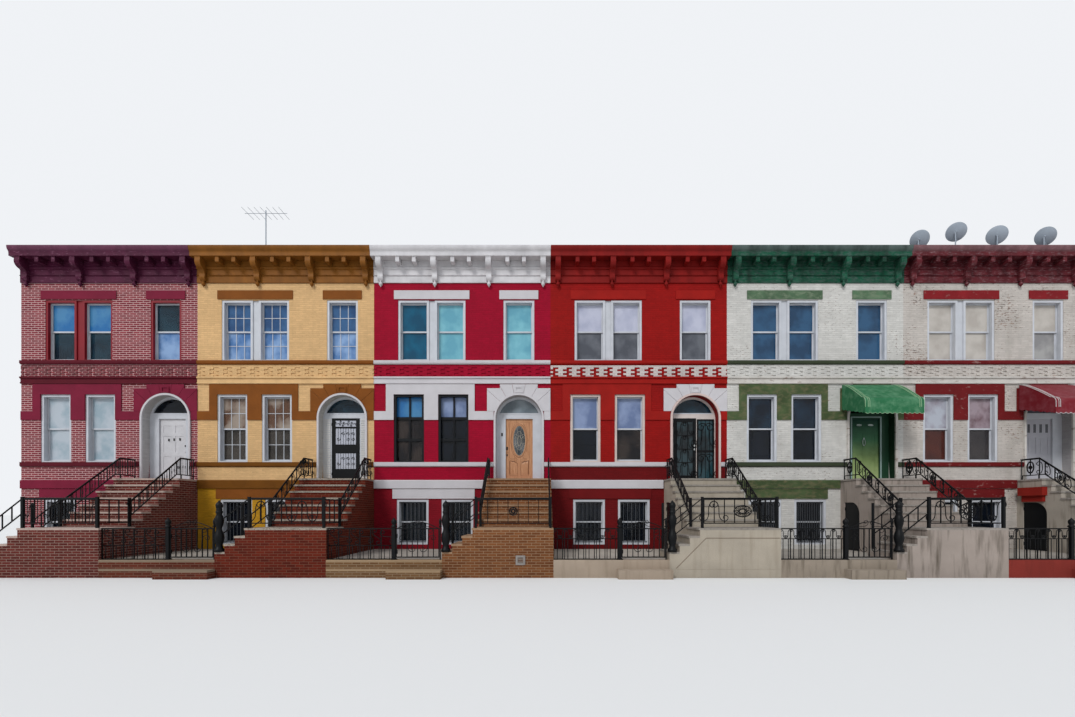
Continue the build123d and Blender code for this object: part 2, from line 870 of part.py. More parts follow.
for n, (leaf_width, leaf_offset, hinge_side, swing) in enumerate(front_door_plan):
    leaf_left = lots[n] + doorway_center + leaf_offset
    leaf_right = leaf_left + leaf_width
    leaf_front = facade_y + door_frame_setback
    if swing == "in":
        leaf_front += door_frame_depth - leaf_thickness
    leaf_plane = Plane.XZ.offset(-leaf_front)
    hinge_face = leaf_front + (leaf_thickness if swing == "in" else 0)
    outward = 1 if swing == "in" else -1
    toward_knob = 1 if hinge_side == "left" else -1
    hinge_edge = leaf_left if hinge_side == "left" else leaf_right
    knob_edge = leaf_right if hinge_side == "left" else leaf_left
    hinge_x = hinge_edge - toward_knob * running_gap / 2
    hinge_y = hinge_face + outward * hinge_radius
    leaf_middle = (leaf_left + leaf_right) / 2
    half_width, half_height, oval_places = door_ovals.get(n, (0, 0, ()))
    oval_centers = [(leaf_middle + x, leaf_bottom + rise) for x, rise in oval_places]
    with BuildPart() as front_door:
        with BuildSketch(leaf_plane):
            block(leaf_left, leaf_right, leaf_bottom, leaf_top)
        extrude(amount=-leaf_thickness)
        with BuildSketch(leaf_plane):
            for low, high, columns in door_panels[n]:
                pitch = (leaf_width - panel_border) / columns
                for column in range(columns):
                    left = leaf_left + panel_border + column * pitch
                    right = left + pitch - panel_border
                    block(left, right, leaf_bottom + low, leaf_bottom + high)
            for center in oval_centers:
                with Locations(center):
                    Ellipse(half_width, half_height)
        extrude(amount=-panel_recess, mode=Mode.SUBTRACT)
        if oval_centers:
            with BuildSketch(leaf_plane):
                with Locations(*oval_centers):
                    Ellipse(half_width + oval_border, half_height + oval_border)
                    Ellipse(half_width, half_height, mode=Mode.SUBTRACT)
            extrude(amount=oval_proud)
        with BuildSketch(leaf_plane):
            with Locations((knob_edge - toward_knob * knob_inset, leaf_bottom + knob_height)):
                Circle(knob_radius)
        extrude(amount=knob_radius)
        for height in (leaf_bottom + hinge_inset, leaf_top - hinge_inset):
            with BuildSketch(Plane.XY.offset(height - hinge_length / 2)):
                with Locations((hinge_x, hinge_y)):
                    Circle(hinge_radius)
                arm_center = (hinge_x + toward_knob * hinge_arm / 2, hinge_face + outward * hinge_plate / 2)
                with Locations(arm_center):
                    Rectangle(hinge_arm, hinge_plate)
            extrude(amount=hinge_length)
    save(front_door.part, f"house_{n + 1}_front_door")

# The door in the side of each stoop, hinged at the house end

stoop_hinge_x = stoop_left + stoop_door_setback - hinge_radius
stoop_hinge_y = stoop_door_first - hinge_radius - pin_clearance
leaf_first = stoop_door_first - running_gap
leaf_last = stoop_door_last + running_gap

with BuildPart() as stoop_door:
    with BuildSketch(Plane.YZ.offset(stoop_left + stoop_door_setback)):
        corner = stoop_door_corner - running_gap
        leaf_head = stoop_door_top - running_gap
        block(leaf_last, leaf_first, curb_top + leaf_lift, leaf_head)
        block(leaf_last, leaf_last + corner, corner_bottom, leaf_head, Mode.SUBTRACT)
        with Locations((leaf_last + corner, corner_bottom)):
            Circle(corner)
        block(leaf_last, leaf_first, curb_top + leaf_lift, leaf_head, Mode.INTERSECT)
    extrude(amount=stoop_door_thickness)
    for height in (curb_top + hinge_inset, stoop_door_top - hinge_inset):
        with BuildSketch(Plane.XY.offset(height - hinge_length / 2)):
            with Locations((stoop_hinge_x, stoop_hinge_y)):
                Circle(hinge_radius)
            arm_x = stoop_left + stoop_door_setback
            block(arm_x - hinge_plate, arm_x, stoop_hinge_y - hinge_arm, stoop_hinge_y)
        extrude(amount=hinge_length)

for n, lot in enumerate(lots):
    for leaf, kind in ((area_gate.part, "area_gate"), (stoop_door.part, "stoop_door")):
        with BuildPart() as placed_leaf:
            with Locations((lot, 0, 0)):
                add(leaf)
        save(placed_leaf.part, f"house_{n + 1}_{kind}")

# Iron rails on the stoops

main_slope = riser / tread_depth
side_slope = side_riser / side_tread_depth
post_reach = landing_near + nosing + rail_post
front_rail_reach = stoop_reach - rail_post
rail_end = post_reach - rail_post / 2
top_bend = platform_reach - rail_bend
foot_bend = platform_reach + nosing
rail_lines = (stoop_left + rail_inset, lot_width - rail_inset)


def rail_top(reach):
    return parlour_floor + rail_height - max(0, reach - top_bend) * main_slope


def rail_foot(reach):
    return parlour_floor + rail_ground_gap - max(0, reach - foot_bend) * main_slope


def spread(first, last, count):
    """Evenly spaced values from first to last."""
    return [first + (last - first) * n / count for n in range(count + 1)]


with BuildPart() as stair_rail:
    with BuildSketch(Plane.YZ):
        tops = [side(reach, rail_top(reach)) for reach in (rail_wall_gap, top_bend, rail_end)]
        feet = [side(reach, rail_foot(reach)) for reach in (rail_end, foot_bend, rail_wall_gap)]
        outline(*tops, *feet)
        stations = spread(rail_wall_gap, top_bend, 2) + spread(foot_bend, rail_end, main_treads)
        half = baluster_width / 2
        for first, last in zip(stations, stations[1:]):
            near = first + half
            far = last - half
            outline(
                side(near, rail_foot(near) + rail_bar),
                side(far, rail_foot(far) + rail_bar),
                side(far, rail_top(far) - rail_bar),
                side(near, rail_top(near) - rail_bar),
                mode=Mode.SUBTRACT,
            )
        for reach in (rail_wall_gap, top_bend - rail_bar):
            foot = facade_y - reach - rail_bar
            block(foot, foot + rail_bar, parlour_floor, parlour_floor + rail_ground_gap + half)
    extrude(amount=rail_bar / 2, both=True)
with BuildPart() as medallion:
    with BuildSketch(Plane.YZ):
        middle_reach = (rail_wall_gap + top_bend) / 2
        middle_height = parlour_floor + (rail_height + rail_ground_gap) / 2
        inner_half_width = medallion_half_width - medallion_rim
        inner_half_height = medallion_half_height - medallion_rim
        with Locations(side(middle_reach, middle_height)):
            Ellipse(medallion_half_width, medallion_half_height)
            Ellipse(inner_half_width, inner_half_height, mode=Mode.SUBTRACT)
            Rectangle(baluster_width, 2 * medallion_half_height)
            Circle(medallion_hub)
    extrude(amount=rail_bar / 2, both=True)
with BuildPart() as stair_rails:
    with Locations(*[(lot + line, 0, 0) for lot in lots for line in rail_lines]):
        add(stair_rail.part)
    with Locations(*[(lots[house] + line, 0, 0) for house in medallion_houses for line in rail_lines]):
        add(medallion.part)
save(stair_rails.part, "stair_rails")

landing_rail_bottom = landing_top + rail_ground_gap
landing_rail_top = landing_top + landing_rail_height

with BuildPart() as landing_rail_pair:
    with BuildSketch(facade.offset(front_rail_reach)):
        left, right = rail_lines
        picket_panel(
            left + rail_post / 2,
            right - rail_post / 2,
            landing_rail_bottom,
            landing_rail_top,
            baluster_spacing,
        )
    extrude(amount=rail_bar / 2, both=True)
    with BuildSketch(Plane.YZ.offset(rail_lines[1])):
        picket_panel(
            facade_y - front_rail_reach + rail_post / 2,
            facade_y - post_reach - rail_post / 2,
            landing_rail_bottom,
            landing_rail_top,
            baluster_spacing,
        )
    extrude(amount=rail_bar / 2, both=True)

newel_x = side_flight_left + newel_inset
side_rail_left = newel_x
side_rail_right = rail_lines[0] - rail_post / 2
first_step = curb_top + side_riser


def side_rail_line(x, height):
    """Height of the side flight's rail at x, given its height above the landing at the post."""
    return landing_top + height - (side_rail_right - x) * side_slope


with BuildPart() as side_flight_rail_pair:
    for reach in (front_rail_reach, post_reach):
        with BuildSketch(facade.offset(reach)):
            for height in (landing_rail_height, landing_rail_height / 2):
                outline(
                    (side_rail_left, side_rail_line(side_rail_left, height)),
                    (side_rail_right, side_rail_line(side_rail_right, height)),
                    (side_rail_right, side_rail_line(side_rail_right, height - rail_bar)),
                    (side_rail_left, side_rail_line(side_rail_left, height - rail_bar)),
                )
            for x in spread(side_rail_left, side_rail_right, side_treads)[1:-1]:
                block(
                    x - baluster_width / 2,
                    x + baluster_width / 2,
                    side_rail_line(x, landing_rail_height / 2 - rail_bar / 2),
                    side_rail_line(x, landing_rail_height - rail_bar / 2),
                )
        extrude(amount=rail_bar / 2, both=True)


def newel_point(radius, rise):
    """A point of the newel's turned outline, as shares of its radius and height."""
    return (newel_radius * radius, newel_height * rise)


with BuildPart() as newel:
    with BuildSketch(Plane.XZ):
        with BuildLine():
            Polyline(
                newel_point(0.2, 1),
                newel_point(0, 1),
                newel_point(0, 0),
                newel_point(1, 0),
                newel_point(1, 0.12),
                newel_point(0.55, 0.17),
                newel_point(0.45, 0.68),
                newel_point(0.85, 0.71),
                newel_point(0.85, 0.74),
                newel_point(0.4, 0.77),
            )
            ThreePointArc(newel_point(0.4, 0.77), newel_point(1, 0.86), newel_point(0.3, 0.93))
            Line(newel_point(0.3, 0.93), newel_point(0.2, 1))
        make_face()
    revolve(axis=Axis.Z)

with BuildPart() as landing_rail_set:
    add(landing_rail_pair.part)
    add(side_flight_rail_pair.part)
    with Locations((newel_x, facade_y - front_rail_reach, first_step)):
        add(newel.part)
    with BuildSketch(Plane.XY.offset(first_step)):
        with Locations((newel_x, facade_y - post_reach)):
            RegularPolygon(newel_radius / 2, 8)
    extrude(amount=newel_height)
save_row(landing_rail_set.part, "landing_rails")

with BuildPart() as iron_post_set:
    with BuildSketch(Plane.XY.offset(landing_top)):
        with Locations(*[(x, facade_y - y) for x in rail_lines for y in (post_reach, front_rail_reach)]):
            Rectangle(rail_post, rail_post)
    extrude(amount=rail_post_height)
    with BuildSketch(Plane.XY.offset(curb_top)):
        with Locations((gate_left, fence_y)):
            Rectangle(fence_post, fence_post)
        with Locations((gate_right, fence_y)):
            Rectangle(rail_bar, rail_bar)
    extrude(amount=fence_height + fence_post)
save_row(iron_post_set.part, "iron_posts")

# Grilles in the basement windows of four houses, let into the brick reveals

grille_bottom = basement_window_bottom + frame_face
grille_top = basement_window_top - frame_face - grille_spear
grille_middle = (grille_bottom + grille_top) / 2
grille_levels = (basement_window_bottom + grille_margin, basement_window_top - grille_margin)


def grille(bays):
    """One house's pair of grilles: two level rails and speared upright bars."""
    with BuildPart() as pair:
        with BuildSketch(facade.offset(-grille_setback)):
            for x, z in basement_openings[2]:
                reach = basement_window_width / 2 - frame_face
                bars = spread(x - reach, x + reach, bays)
                with Locations(*[(x, level) for level in grille_levels]):
                    Rectangle(basement_window_width, rail_bar)
                with Locations(*[(bar, grille_middle) for bar in bars]):
                    Rectangle(grille_bar, grille_top - grille_bottom)
                with Locations(*[(bar, grille_top) for bar in bars]):
                    Triangle(a=grille_bar, b=grille_spear, c=grille_spear, align=(Align.CENTER, Align.MIN))
        extrude(amount=-grille_bar)
    return pair.part


with BuildPart() as window_grilles:
    for house, bays in grille_plan:
        add(in_houses(grille(bays), [house]))
save(window_grilles.part, "window_grilles")

# Trim on the front: lintels, courses, surrounds and the arch over each door


def course(left, right, *profile):
    """A moulded course on the open part, its side profile given as reach and height pairs."""
    with BuildSketch(Plane.YZ.offset(left)) as section:
        outline(*[side(reach, height) for reach, height in profile])
    extrude(section.sketch, amount=right - left)


moulding_left = doorway_left - arch_moulding_face - stone_joint
moulding_right = doorway_right + arch_moulding_face + stone_joint
sill_course_bottom = parlour_window_bottom - sill_course_height
upper_sill_bottom = upper_window_bottom - upper_sill_height
belt_fillet = belt_reach * 0.4
belt_foot = belt_reach * 0.7
springer_bottom = arch_foot + springer_rise
springer_top = belt_bottom - springer_drop

with BuildPart() as course_set:
    course(
        course_left,
        stoop_left - nosing - stone_joint,
        (0, water_table_bottom),
        (water_table_reach, water_table_bottom),
        (water_table_reach, parlour_floor - water_table_reach / 2),
        (water_table_reach / 2, parlour_floor),
        (0, parlour_floor),
    )
    for left, right in ((course_left, moulding_left), (moulding_right, course_right)):
        course(
            left,
            right,
            (0, sill_course_bottom),
            (sill_course_reach / 2, sill_course_bottom),
            (sill_course_reach, sill_course_bottom + sill_course_reach / 2),
            (sill_course_reach, parlour_window_bottom),
            (0, parlour_window_bottom),
        )
    course(
        course_left,
        course_right,
        (0, belt_bottom),
        (belt_foot, belt_bottom),
        (belt_foot, belt_bottom + belt_height * 0.2),
        (belt_fillet, belt_bottom + belt_height * 0.25),
        (belt_fillet, belt_bottom + belt_height * 0.7),
        (belt_reach, belt_bottom + belt_height * 0.8),
        (belt_reach, belt_bottom + belt_height),
        (0, belt_bottom + belt_height),
    )
    course(
        course_left,
        course_right,
        (0, upper_sill_bottom),
        (upper_sill_reach * 0.6, upper_sill_bottom),
        (upper_sill_reach, upper_sill_bottom + upper_sill_height / 3),
        (upper_sill_reach, upper_window_bottom),
        (0, upper_window_bottom),
    )
save_row(course_set.part, "stone_courses")

with BuildPart() as window_surround:
    with BuildSketch(facade):
        impost_bottom = springer_bottom - impost_height
        left = parlour_windows_left - surround_borders[0]
        right = parlour_windows_left + 2 * parlour_window_width + parlour_window_gap + surround_borders[1]
        block(left, right, impost_bottom, belt_bottom - surround_gap)
        block(course_left, moulding_left, impost_bottom, springer_bottom)
        block(moulding_right, course_right, impost_bottom, springer_bottom)
        cut_openings(parlour_openings)
    extrude(amount=surround_reach)
save_row(window_surround.part, "window_surrounds")

with BuildPart() as lintel_set:
    with BuildSketch(facade):
        left = basement_windows_left - basement_lintel_overlaps[0]
        right = basement_windows_left + 2 * basement_window_width + basement_window_gap
        block(
            left,
            right + basement_lintel_overlaps[1],
            basement_lintel_bottom,
            basement_lintel_bottom + basement_lintel_height,
        )
        top = upper_lintel_bottom + upper_lintel_height
        for left, width in ((upper_pair_left, upper_pair_width), (upper_single_left, upper_single_width)):
            right = left + width + lintel_overlap
            block(left - lintel_overlap, right, upper_lintel_bottom, top)
    extrude(amount=lintel_reach)
    with BuildSketch(Plane.XZ.offset(-rear_y)):
        for width, height, centers in rear_openings:
            for x, z in centers:
                left = x - width / 2 - rear_lintel_overlap
                right = x + width / 2 + rear_lintel_overlap
                block(left, right, z + height / 2, z + height / 2 + rear_lintel_height)
                block(left, right, z - height / 2 - rear_sill_height, z - height / 2)
    extrude(amount=-lintel_reach)
save_row(lintel_set.part, "window_lintels")

with BuildPart() as arch_moulding:
    with BuildSketch(facade):
        with Locations((doorway_center, arch_spring)):
            Circle(arch_radius + arch_moulding_face)
        left = doorway_left - arch_moulding_face
        right = doorway_right + arch_moulding_face
        block(left, right, parlour_floor, arch_spring)
        block(doorway_left, doorway_right, parlour_floor, arch_spring, Mode.SUBTRACT)
        with Locations((doorway_center, arch_spring)):
            Circle(arch_radius, mode=Mode.SUBTRACT)
    extrude(amount=arch_moulding_reach)
save_row(arch_moulding.part, "arch_mouldings")

with BuildPart() as voussoir_set:
    with BuildSketch(facade):
        block(
            door_bay_left + stone_joint / 2, course_right, springer_bottom + voussoir_gap, springer_top
        )
        crown_left = doorway_center - crown_half_width
        crown_right = doorway_center + crown_half_width
        block(crown_left, crown_right, springer_top, belt_bottom - crown_block_gap)
        with Locations((doorway_center, arch_spring)):
            Circle(arch_radius + arch_moulding_face + voussoir_gap, mode=Mode.SUBTRACT)
            for angle in joint_angles:
                for turn in (angle, -angle):
                    Rectangle(
                        voussoir_joint,
                        2 * arch_radius,
                        rotation=turn,
                        align=(Align.CENTER, Align.MIN),
                        mode=Mode.SUBTRACT,
                    )
    extrude(amount=voussoir_reach)
    with BuildSketch(facade.offset(voussoir_reach)):
        key_bottom = arch_spring + arch_radius + arch_moulding_face + key_margin
        key_left = doorway_center - key_half_width
        key_right = doorway_center + key_half_width
        key_top = key_bottom + key_height
        block(key_left, key_right, key_bottom, key_top)
        block(
            key_left + key_border,
            key_right - key_border,
            key_bottom + key_border,
            key_top - key_border,
            Mode.SUBTRACT,
        )
    extrude(amount=key_reach)
save_row(voussoir_set.part, "door_voussoirs")

# The cornice, its S-curved brackets and the small blocks between them

cornice_front = frieze_reach * 1.45


def cornice_outline(mode=Mode.ADD):
    """The cornice's side profile: frieze board, two beads, soffit and crown moulding."""
    bead = frieze_reach * 0.9
    frieze_height = cornice_soffit - cornice_bottom
    low_bead = cornice_bottom + frieze_height * 0.3
    high_bead = cornice_bottom + frieze_height * 0.6
    crown_foot = side(cornice_reach * 0.86, cornice_soffit + crown_height * 0.25)
    crown_waist = side(cornice_reach * 0.93, cornice_soffit + crown_height * 0.55)
    with BuildLine() as edge:
        Polyline(
            side(cornice_reach, cornice_top),
            side(-cornice_wall_cover, cornice_top),
            side(-cornice_wall_cover, roof_front),
            side(0, roof_front),
            side(0, cornice_bottom),
            side(frieze_reach, cornice_bottom),
            side(frieze_reach, low_bead),
            side(frieze_reach + bead, low_bead + bead / 2),
            side(frieze_reach, low_bead + bead),
            side(frieze_reach, high_bead),
            side(frieze_reach + bead, high_bead + bead / 2),
            side(frieze_reach + bead, high_bead + 2 * bead),
            side(cornice_front, high_bead + 3 * bead),
            side(cornice_front, cornice_soffit),
            side(cornice_reach * 0.86, cornice_soffit),
            crown_foot,
        )
        ThreePointArc(
            crown_foot, side(cornice_reach * 0.875, cornice_soffit + crown_height * 0.42), crown_waist
        )
        ThreePointArc(
            crown_waist,
            side(cornice_reach * 0.985, cornice_soffit + crown_height * 0.72),
            side(cornice_reach, cornice_top),
        )
    make_face(edge.edges(), mode=mode)


with BuildPart() as cornice:
    with BuildSketch(Plane.YZ.offset(course_left)):
        cornice_outline()
    extrude(amount=course_right - course_left)
save_row(cornice.part, "cornices")

bracket_pitch = (lot_width - 2 * bracket_margin - bracket_width) / (brackets_per_house - 1)
bracket_lefts = [bracket_margin + n * bracket_pitch for n in range(brackets_per_house)]
bracket_foot = cornice_bottom + frieze_reach
bracket_height = cornice_soffit - bracket_foot


def bracket_point(reach, drop):
    """A point of the bracket's curve, as shares of its reach and of its height down from the soffit."""
    return side(bracket_reach * reach, cornice_soffit - bracket_height * drop)


with BuildPart() as bracket_body:
    with BuildSketch(Plane.YZ):
        with BuildLine():
            Polyline(
                bracket_point(0.25, 1),
                bracket_point(0, 1),
                bracket_point(0, 0),
                bracket_point(1, 0),
                bracket_point(1, 0.12),
            )
            ThreePointArc(bracket_point(1, 0.12), bracket_point(0.93, 0.38), bracket_point(0.6, 0.5))
            ThreePointArc(bracket_point(0.6, 0.5), bracket_point(0.42, 0.62), bracket_point(0.42, 0.8))
            ThreePointArc(bracket_point(0.42, 0.8), bracket_point(0.38, 0.93), bracket_point(0.25, 1))
        make_face()
        cornice_outline(Mode.SUBTRACT)
    extrude(amount=bracket_width)
with BuildPart() as pendant:
    with BuildSketch(Plane.XZ):
        with BuildLine():
            Polyline(
                (pendant_neck, -stone_joint),
                (pendant_neck, 2 * frieze_reach),
                (0, 2 * frieze_reach),
                (0, -pendant_drop),
                (pendant_neck, -pendant_drop * 0.68),
            )
            ThreePointArc(
                (pendant_neck, -pendant_drop * 0.68),
                (pendant_radius, -pendant_drop * 0.35),
                (pendant_neck, -stone_joint),
            )
        make_face()
    revolve(axis=Axis.Z)
with BuildPart() as bracket_set:
    with Locations(*[(left, 0, 0) for left in bracket_lefts]):
        add(bracket_body.part)
    middles = [left + bracket_width / 2 for left in bracket_lefts]
    with Locations(*[(middle, facade_y - pendant_reach, cornice_bottom) for middle in middles]):
        add(pendant.part)
    with BuildSketch(facade.offset(cornice_front)):
        for first, second in zip(bracket_lefts, bracket_lefts[1:]):
            gap = (second - first - bracket_width) / (modillions_between + 1)
            for n in range(modillions_between):
                center = first + bracket_width + (n + 1) * gap
                left = center - modillion_width / 2
                block(left, left + modillion_width, cornice_soffit - modillion_height, cornice_soffit)
    extrude(amount=modillion_reach)
save_row(bracket_set.part, "cornice_brackets")

# Awnings: a curved skin closed at the sides and open underneath

awning_back = arch_moulding_reach
awning_left = stoop_left + awning_margin
awning_top = belt_bottom - awning_gap
awning_front_top = awning_top - awning_fall
awning_front_bottom = awning_front_top - awning_valance
awning_side_bottom = awning_front_bottom + awning_side_rise


def awning_outline(inset, mode=Mode.ADD):
    """The awning's side profile, or the hollow inside its skin."""
    with BuildLine() as edge:
        Polyline(
            side(awning_reach - inset, awning_front_top),
            side(awning_reach - inset, awning_front_bottom - inset),
            side(awning_back, (awning_front_bottom if inset else awning_side_bottom) - inset),
            side(awning_back, awning_top - inset * 2),
        )
        ThreePointArc(
            side(awning_back, awning_top - inset * 2),
            side(awning_reach * 0.62 - inset, (awning_top + awning_front_top) / 2 + awning_crown),
            side(awning_reach - inset, awning_front_top),
        )
    make_face(edge.edges(), mode=mode)


with BuildPart() as awning:
    with BuildSketch(Plane.YZ.offset(awning_left)):
        awning_outline(0)
    extrude(amount=awning_width)
    with BuildSketch(Plane.YZ.offset(awning_left + awning_skin)):
        awning_outline(awning_skin)
    extrude(amount=awning_width - 2 * awning_skin, mode=Mode.SUBTRACT)
with BuildPart() as awnings:
    with Locations(*[(lots[house], 0, 0) for house in awning_houses]):
        add(awning.part)
save(awnings.part, "awnings")

# Dishes and the aerial on the roof, each on a short mast

dish_curve = (dish_radius**2 + dish_depth**2) / (2 * dish_depth)


def dish_rise(radius):
    """How far the dish's outer face stands forward at a radius."""
    return dish_curve - (dish_curve**2 - radius**2) ** 0.5


with BuildPart() as dish:
    with BuildSketch(Plane.XZ):
        with BuildLine():
            hub_rise = dish_rise(dish_hub_radius)
            middle = dish_radius / 2
            Line((dish_radius, dish_depth), (dish_radius, dish_depth + dish_thickness))
            ThreePointArc(
                (dish_radius, dish_depth + dish_thickness),
                (middle, dish_rise(middle) + dish_thickness),
                (dish_hub_radius, hub_rise + dish_thickness),
            )
            Polyline(
                (dish_hub_radius, hub_rise + dish_thickness),
                (0, hub_rise + dish_thickness),
                (0, -dish_hub_length),
                (dish_hub_radius, -dish_hub_length),
                (dish_hub_radius, hub_rise),
            )
            ThreePointArc(
                (dish_hub_radius, hub_rise), (middle, dish_rise(middle)), (dish_radius, dish_depth)
            )
        make_face()
    revolve(axis=Axis.Z)
    with BuildSketch(Plane.YZ):
        arm_low = dish_radius + dish_arm_width
        outline(
            (0, -dish_hub_length / 2),
            (arm_low, -dish_hub_length / 2),
            (dish_radius / 2 + dish_arm_width, dish_arm),
            (dish_radius / 2, dish_arm),
            (dish_radius, -dish_hub_length / 2 + dish_arm_width),
            (0, -dish_hub_length / 2 + dish_arm_width),
        )
    extrude(amount=dish_arm_width / 2, both=True)
    with BuildSketch(Plane.XY.offset(dish_arm - dish_arm_width)):
        with Locations((0, dish_radius / 2)):
            Circle(dish_feed_radius)
    extrude(amount=dish_feed_length)

with BuildPart() as satellite_dishes:
    dish_y = room_front + dish_setback
    foot = roof_height(dish_y - mast_radius)
    for from_right, rise, turn in dish_places:
        x = -row_left - from_right
        height = roof_front + rise
        with BuildSketch(Plane.XY.offset(foot)):
            with Locations((x, dish_y)):
                Circle(mast_radius)
        extrude(amount=height - foot)
        facing = Pos(x, dish_y, height) * Rot(0, 0, -turn) * Rot(-90 + dish_lift, 0, 0)
        add(facing * Pos(0, 0, dish_hub_length / 2) * dish.part)
save(satellite_dishes.part, "satellite_dishes")

with BuildPart() as roof_antenna:
    antenna_x = lots[1] + antenna_from_second_lot
    antenna_y = room_front + antenna_setback
    foot = roof_height(antenna_y - mast_radius)
    with BuildSketch(Plane.XY.offset(foot)):
        with Locations((antenna_x, antenna_y)):
            Circle(mast_radius)
    extrude(amount=antenna_top - foot)
    with BuildSketch(Plane.XY.offset(antenna_top - antenna_boom_drop)):
        with Locations((antenna_x, antenna_y)):
            Rectangle(antenna_boom, 2 * antenna_rod)
            with GridLocations(antenna_boom / antenna_elements, 0, antenna_elements, 1):
                Rectangle(antenna_rod, antenna_element_length)
    extrude(amount=antenna_rod)
save(roof_antenna.part, "roof_antenna")
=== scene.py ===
from math import cos, dist, hypot, pi, radians, sin

import bmesh
import bpy
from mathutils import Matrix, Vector


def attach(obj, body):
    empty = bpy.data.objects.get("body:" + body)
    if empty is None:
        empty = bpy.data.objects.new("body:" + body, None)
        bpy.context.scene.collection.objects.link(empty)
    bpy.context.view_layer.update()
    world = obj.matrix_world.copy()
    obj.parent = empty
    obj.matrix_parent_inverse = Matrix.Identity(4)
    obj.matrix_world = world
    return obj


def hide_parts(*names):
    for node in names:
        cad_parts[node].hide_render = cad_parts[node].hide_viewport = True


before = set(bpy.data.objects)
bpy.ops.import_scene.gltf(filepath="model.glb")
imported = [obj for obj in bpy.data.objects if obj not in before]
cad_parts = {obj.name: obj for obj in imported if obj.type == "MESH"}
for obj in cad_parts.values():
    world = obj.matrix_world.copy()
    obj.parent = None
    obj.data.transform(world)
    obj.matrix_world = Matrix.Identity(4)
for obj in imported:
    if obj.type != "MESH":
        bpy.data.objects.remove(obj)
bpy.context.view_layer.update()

# The view from across the street
# The camera stands level at eye height, 16 m from the house fronts, with its lens shifted up to the cornices.
# The row stands on a pale floor under a pale sky that is brightest overhead, with one soft sun from the front left.
facade_y = -4.9
eye_height = 1.68
camera = bpy.data.objects.new("street_camera", bpy.data.cameras.new("street_camera"))
bpy.context.scene.collection.objects.link(camera)
camera.data.sensor_width = 36
camera.data.lens = 16.54
camera.data.shift_x = -0.0023
camera.data.shift_y = 0.1419
camera.data.clip_end = 500
camera.location = (-0.34, facade_y - 16, eye_height)
camera.rotation_euler = (radians(90), 0, 0)
bpy.context.scene.camera = camera
bpy.context.scene.view_settings.view_transform = "Standard"

sun = bpy.data.objects.new("soft_sun", bpy.data.lights.new("soft_sun", "SUN"))
bpy.context.scene.collection.objects.link(sun)
sun.data.energy = 1.7
sun.data.angle = radians(16)
sun.rotation_euler = (radians(52), 0, radians(-28))


def add(owner, kind, inputs, **settings):
    """Add a shader node to the sky or a material, its inputs set to values or joined to other nodes' outputs."""
    made = owner.node_tree.nodes.new("ShaderNode" + kind)
    for key, value in settings.items():
        setattr(made, key, value)
    for key, value in inputs.items():
        if isinstance(value, bpy.types.NodeSocket):
            owner.node_tree.links.new(value, made.inputs[key])
        else:
            made.inputs[key].default_value = value
    return made.outputs


def shader_input(finish, key):
    return finish.node_tree.nodes["Principled BSDF"].inputs[key]


def math_node(owner, operation, first, second=0.0):
    return add(owner, "Math", {0: first, 1: second}, operation=operation)[0]


sky = bpy.data.worlds.new("pale_sky")
bpy.context.scene.world = sky
sky.use_nodes = True
lit_sky = sky.node_tree.nodes["Background"]
lit_sky.inputs["Color"].default_value = (0.86, 0.92, 1.0, 1)
aim = add(sky, "SeparateXYZ", {0: add(sky, "TexCoord", {})["Generated"]})
overhead = add(sky, "MapRange", {"Value": aim["Z"], "To Min": 0.4, "To Max": 1.05})
sky.node_tree.links.new(overhead[0], lit_sky.inputs["Strength"])
seen_sky = add(sky, "Background", {"Color": (0.87, 0.89, 0.92, 1), "Strength": 1.0})
ray = add(sky, "LightPath", {})
direct = math_node(sky, "MAXIMUM", ray["Is Camera Ray"], ray["Is Glossy Ray"])
seen = math_node(sky, "MAXIMUM", direct, ray["Is Transmission Ray"])
sky_mix = add(sky, "MixShader", {0: seen, 1: lit_sky.outputs[0], 2: seen_sky[0]})
sky.node_tree.links.new(sky_mix[0], sky.node_tree.nodes["World Output"].inputs["Surface"])

floor_mesh = bpy.data.meshes.new("pale_floor")
floor_mesh.from_pydata([(-200, -60, 0), (200, -60, 0), (200, 200, 0), (-200, 200, 0)], [], [(0, 1, 2, 3)])
pale_floor = bpy.data.objects.new("pale_floor", floor_mesh)
bpy.context.scene.collection.objects.link(pale_floor)
floor_finish = bpy.data.materials.new("pale_floor")
floor_finish.use_nodes = True
shader_input(floor_finish, "Base Color").default_value = (0.74, 0.73, 0.71, 1)
shader_input(floor_finish, "Roughness").default_value = 0.9
floor_mesh.materials.append(floor_finish)

# Front walls
# Face brick laid in running bond, left bare on the first house and painted on the other five. The paint of the
# last two is worn through to the brick. The white or green linings of the doorways are painted on the reveals.
row_left = -17.145
lot_width = 5.715
house_count = 6
lots = [row_left + n * lot_width for n in range(house_count)]
brick_length = lot_width / 26
course_height = 0.0675
doorway_center = 4.69
arch_radius = 0.75
arch_spring = 4.68
platform_height = 2.70


def tone(code):
    """A paint colour for a shader, from its six-figure code."""
    channels = [int(code[n:n + 2], 16) / 255 for n in (0, 2, 4)]
    return (*[c / 12.92 if c < 0.04045 else ((c + 0.055) / 1.055) ** 2.4 for c in channels], 1)


def new_finish(name, roughness=0.8, shine=0.12):
    """A new material with one plain shader; shine is how strongly its face mirrors the light."""
    finish = bpy.data.materials.new(name)
    finish.use_nodes = True
    shader_input(finish, "Roughness").default_value = roughness
    shader_input(finish, "Specular IOR Level").default_value = shine
    return finish


def mixed(finish, share, first, second, kind="MIX"):
    """One colour mixed with another by a share from 0 to 1."""
    return add(finish, "MixRGB", {"Fac": share, "Color1": first, "Color2": second}, blend_type=kind)[0]


def multiplied(finish, first, second):
    return mixed(finish, 1.0, first, second, "MULTIPLY")


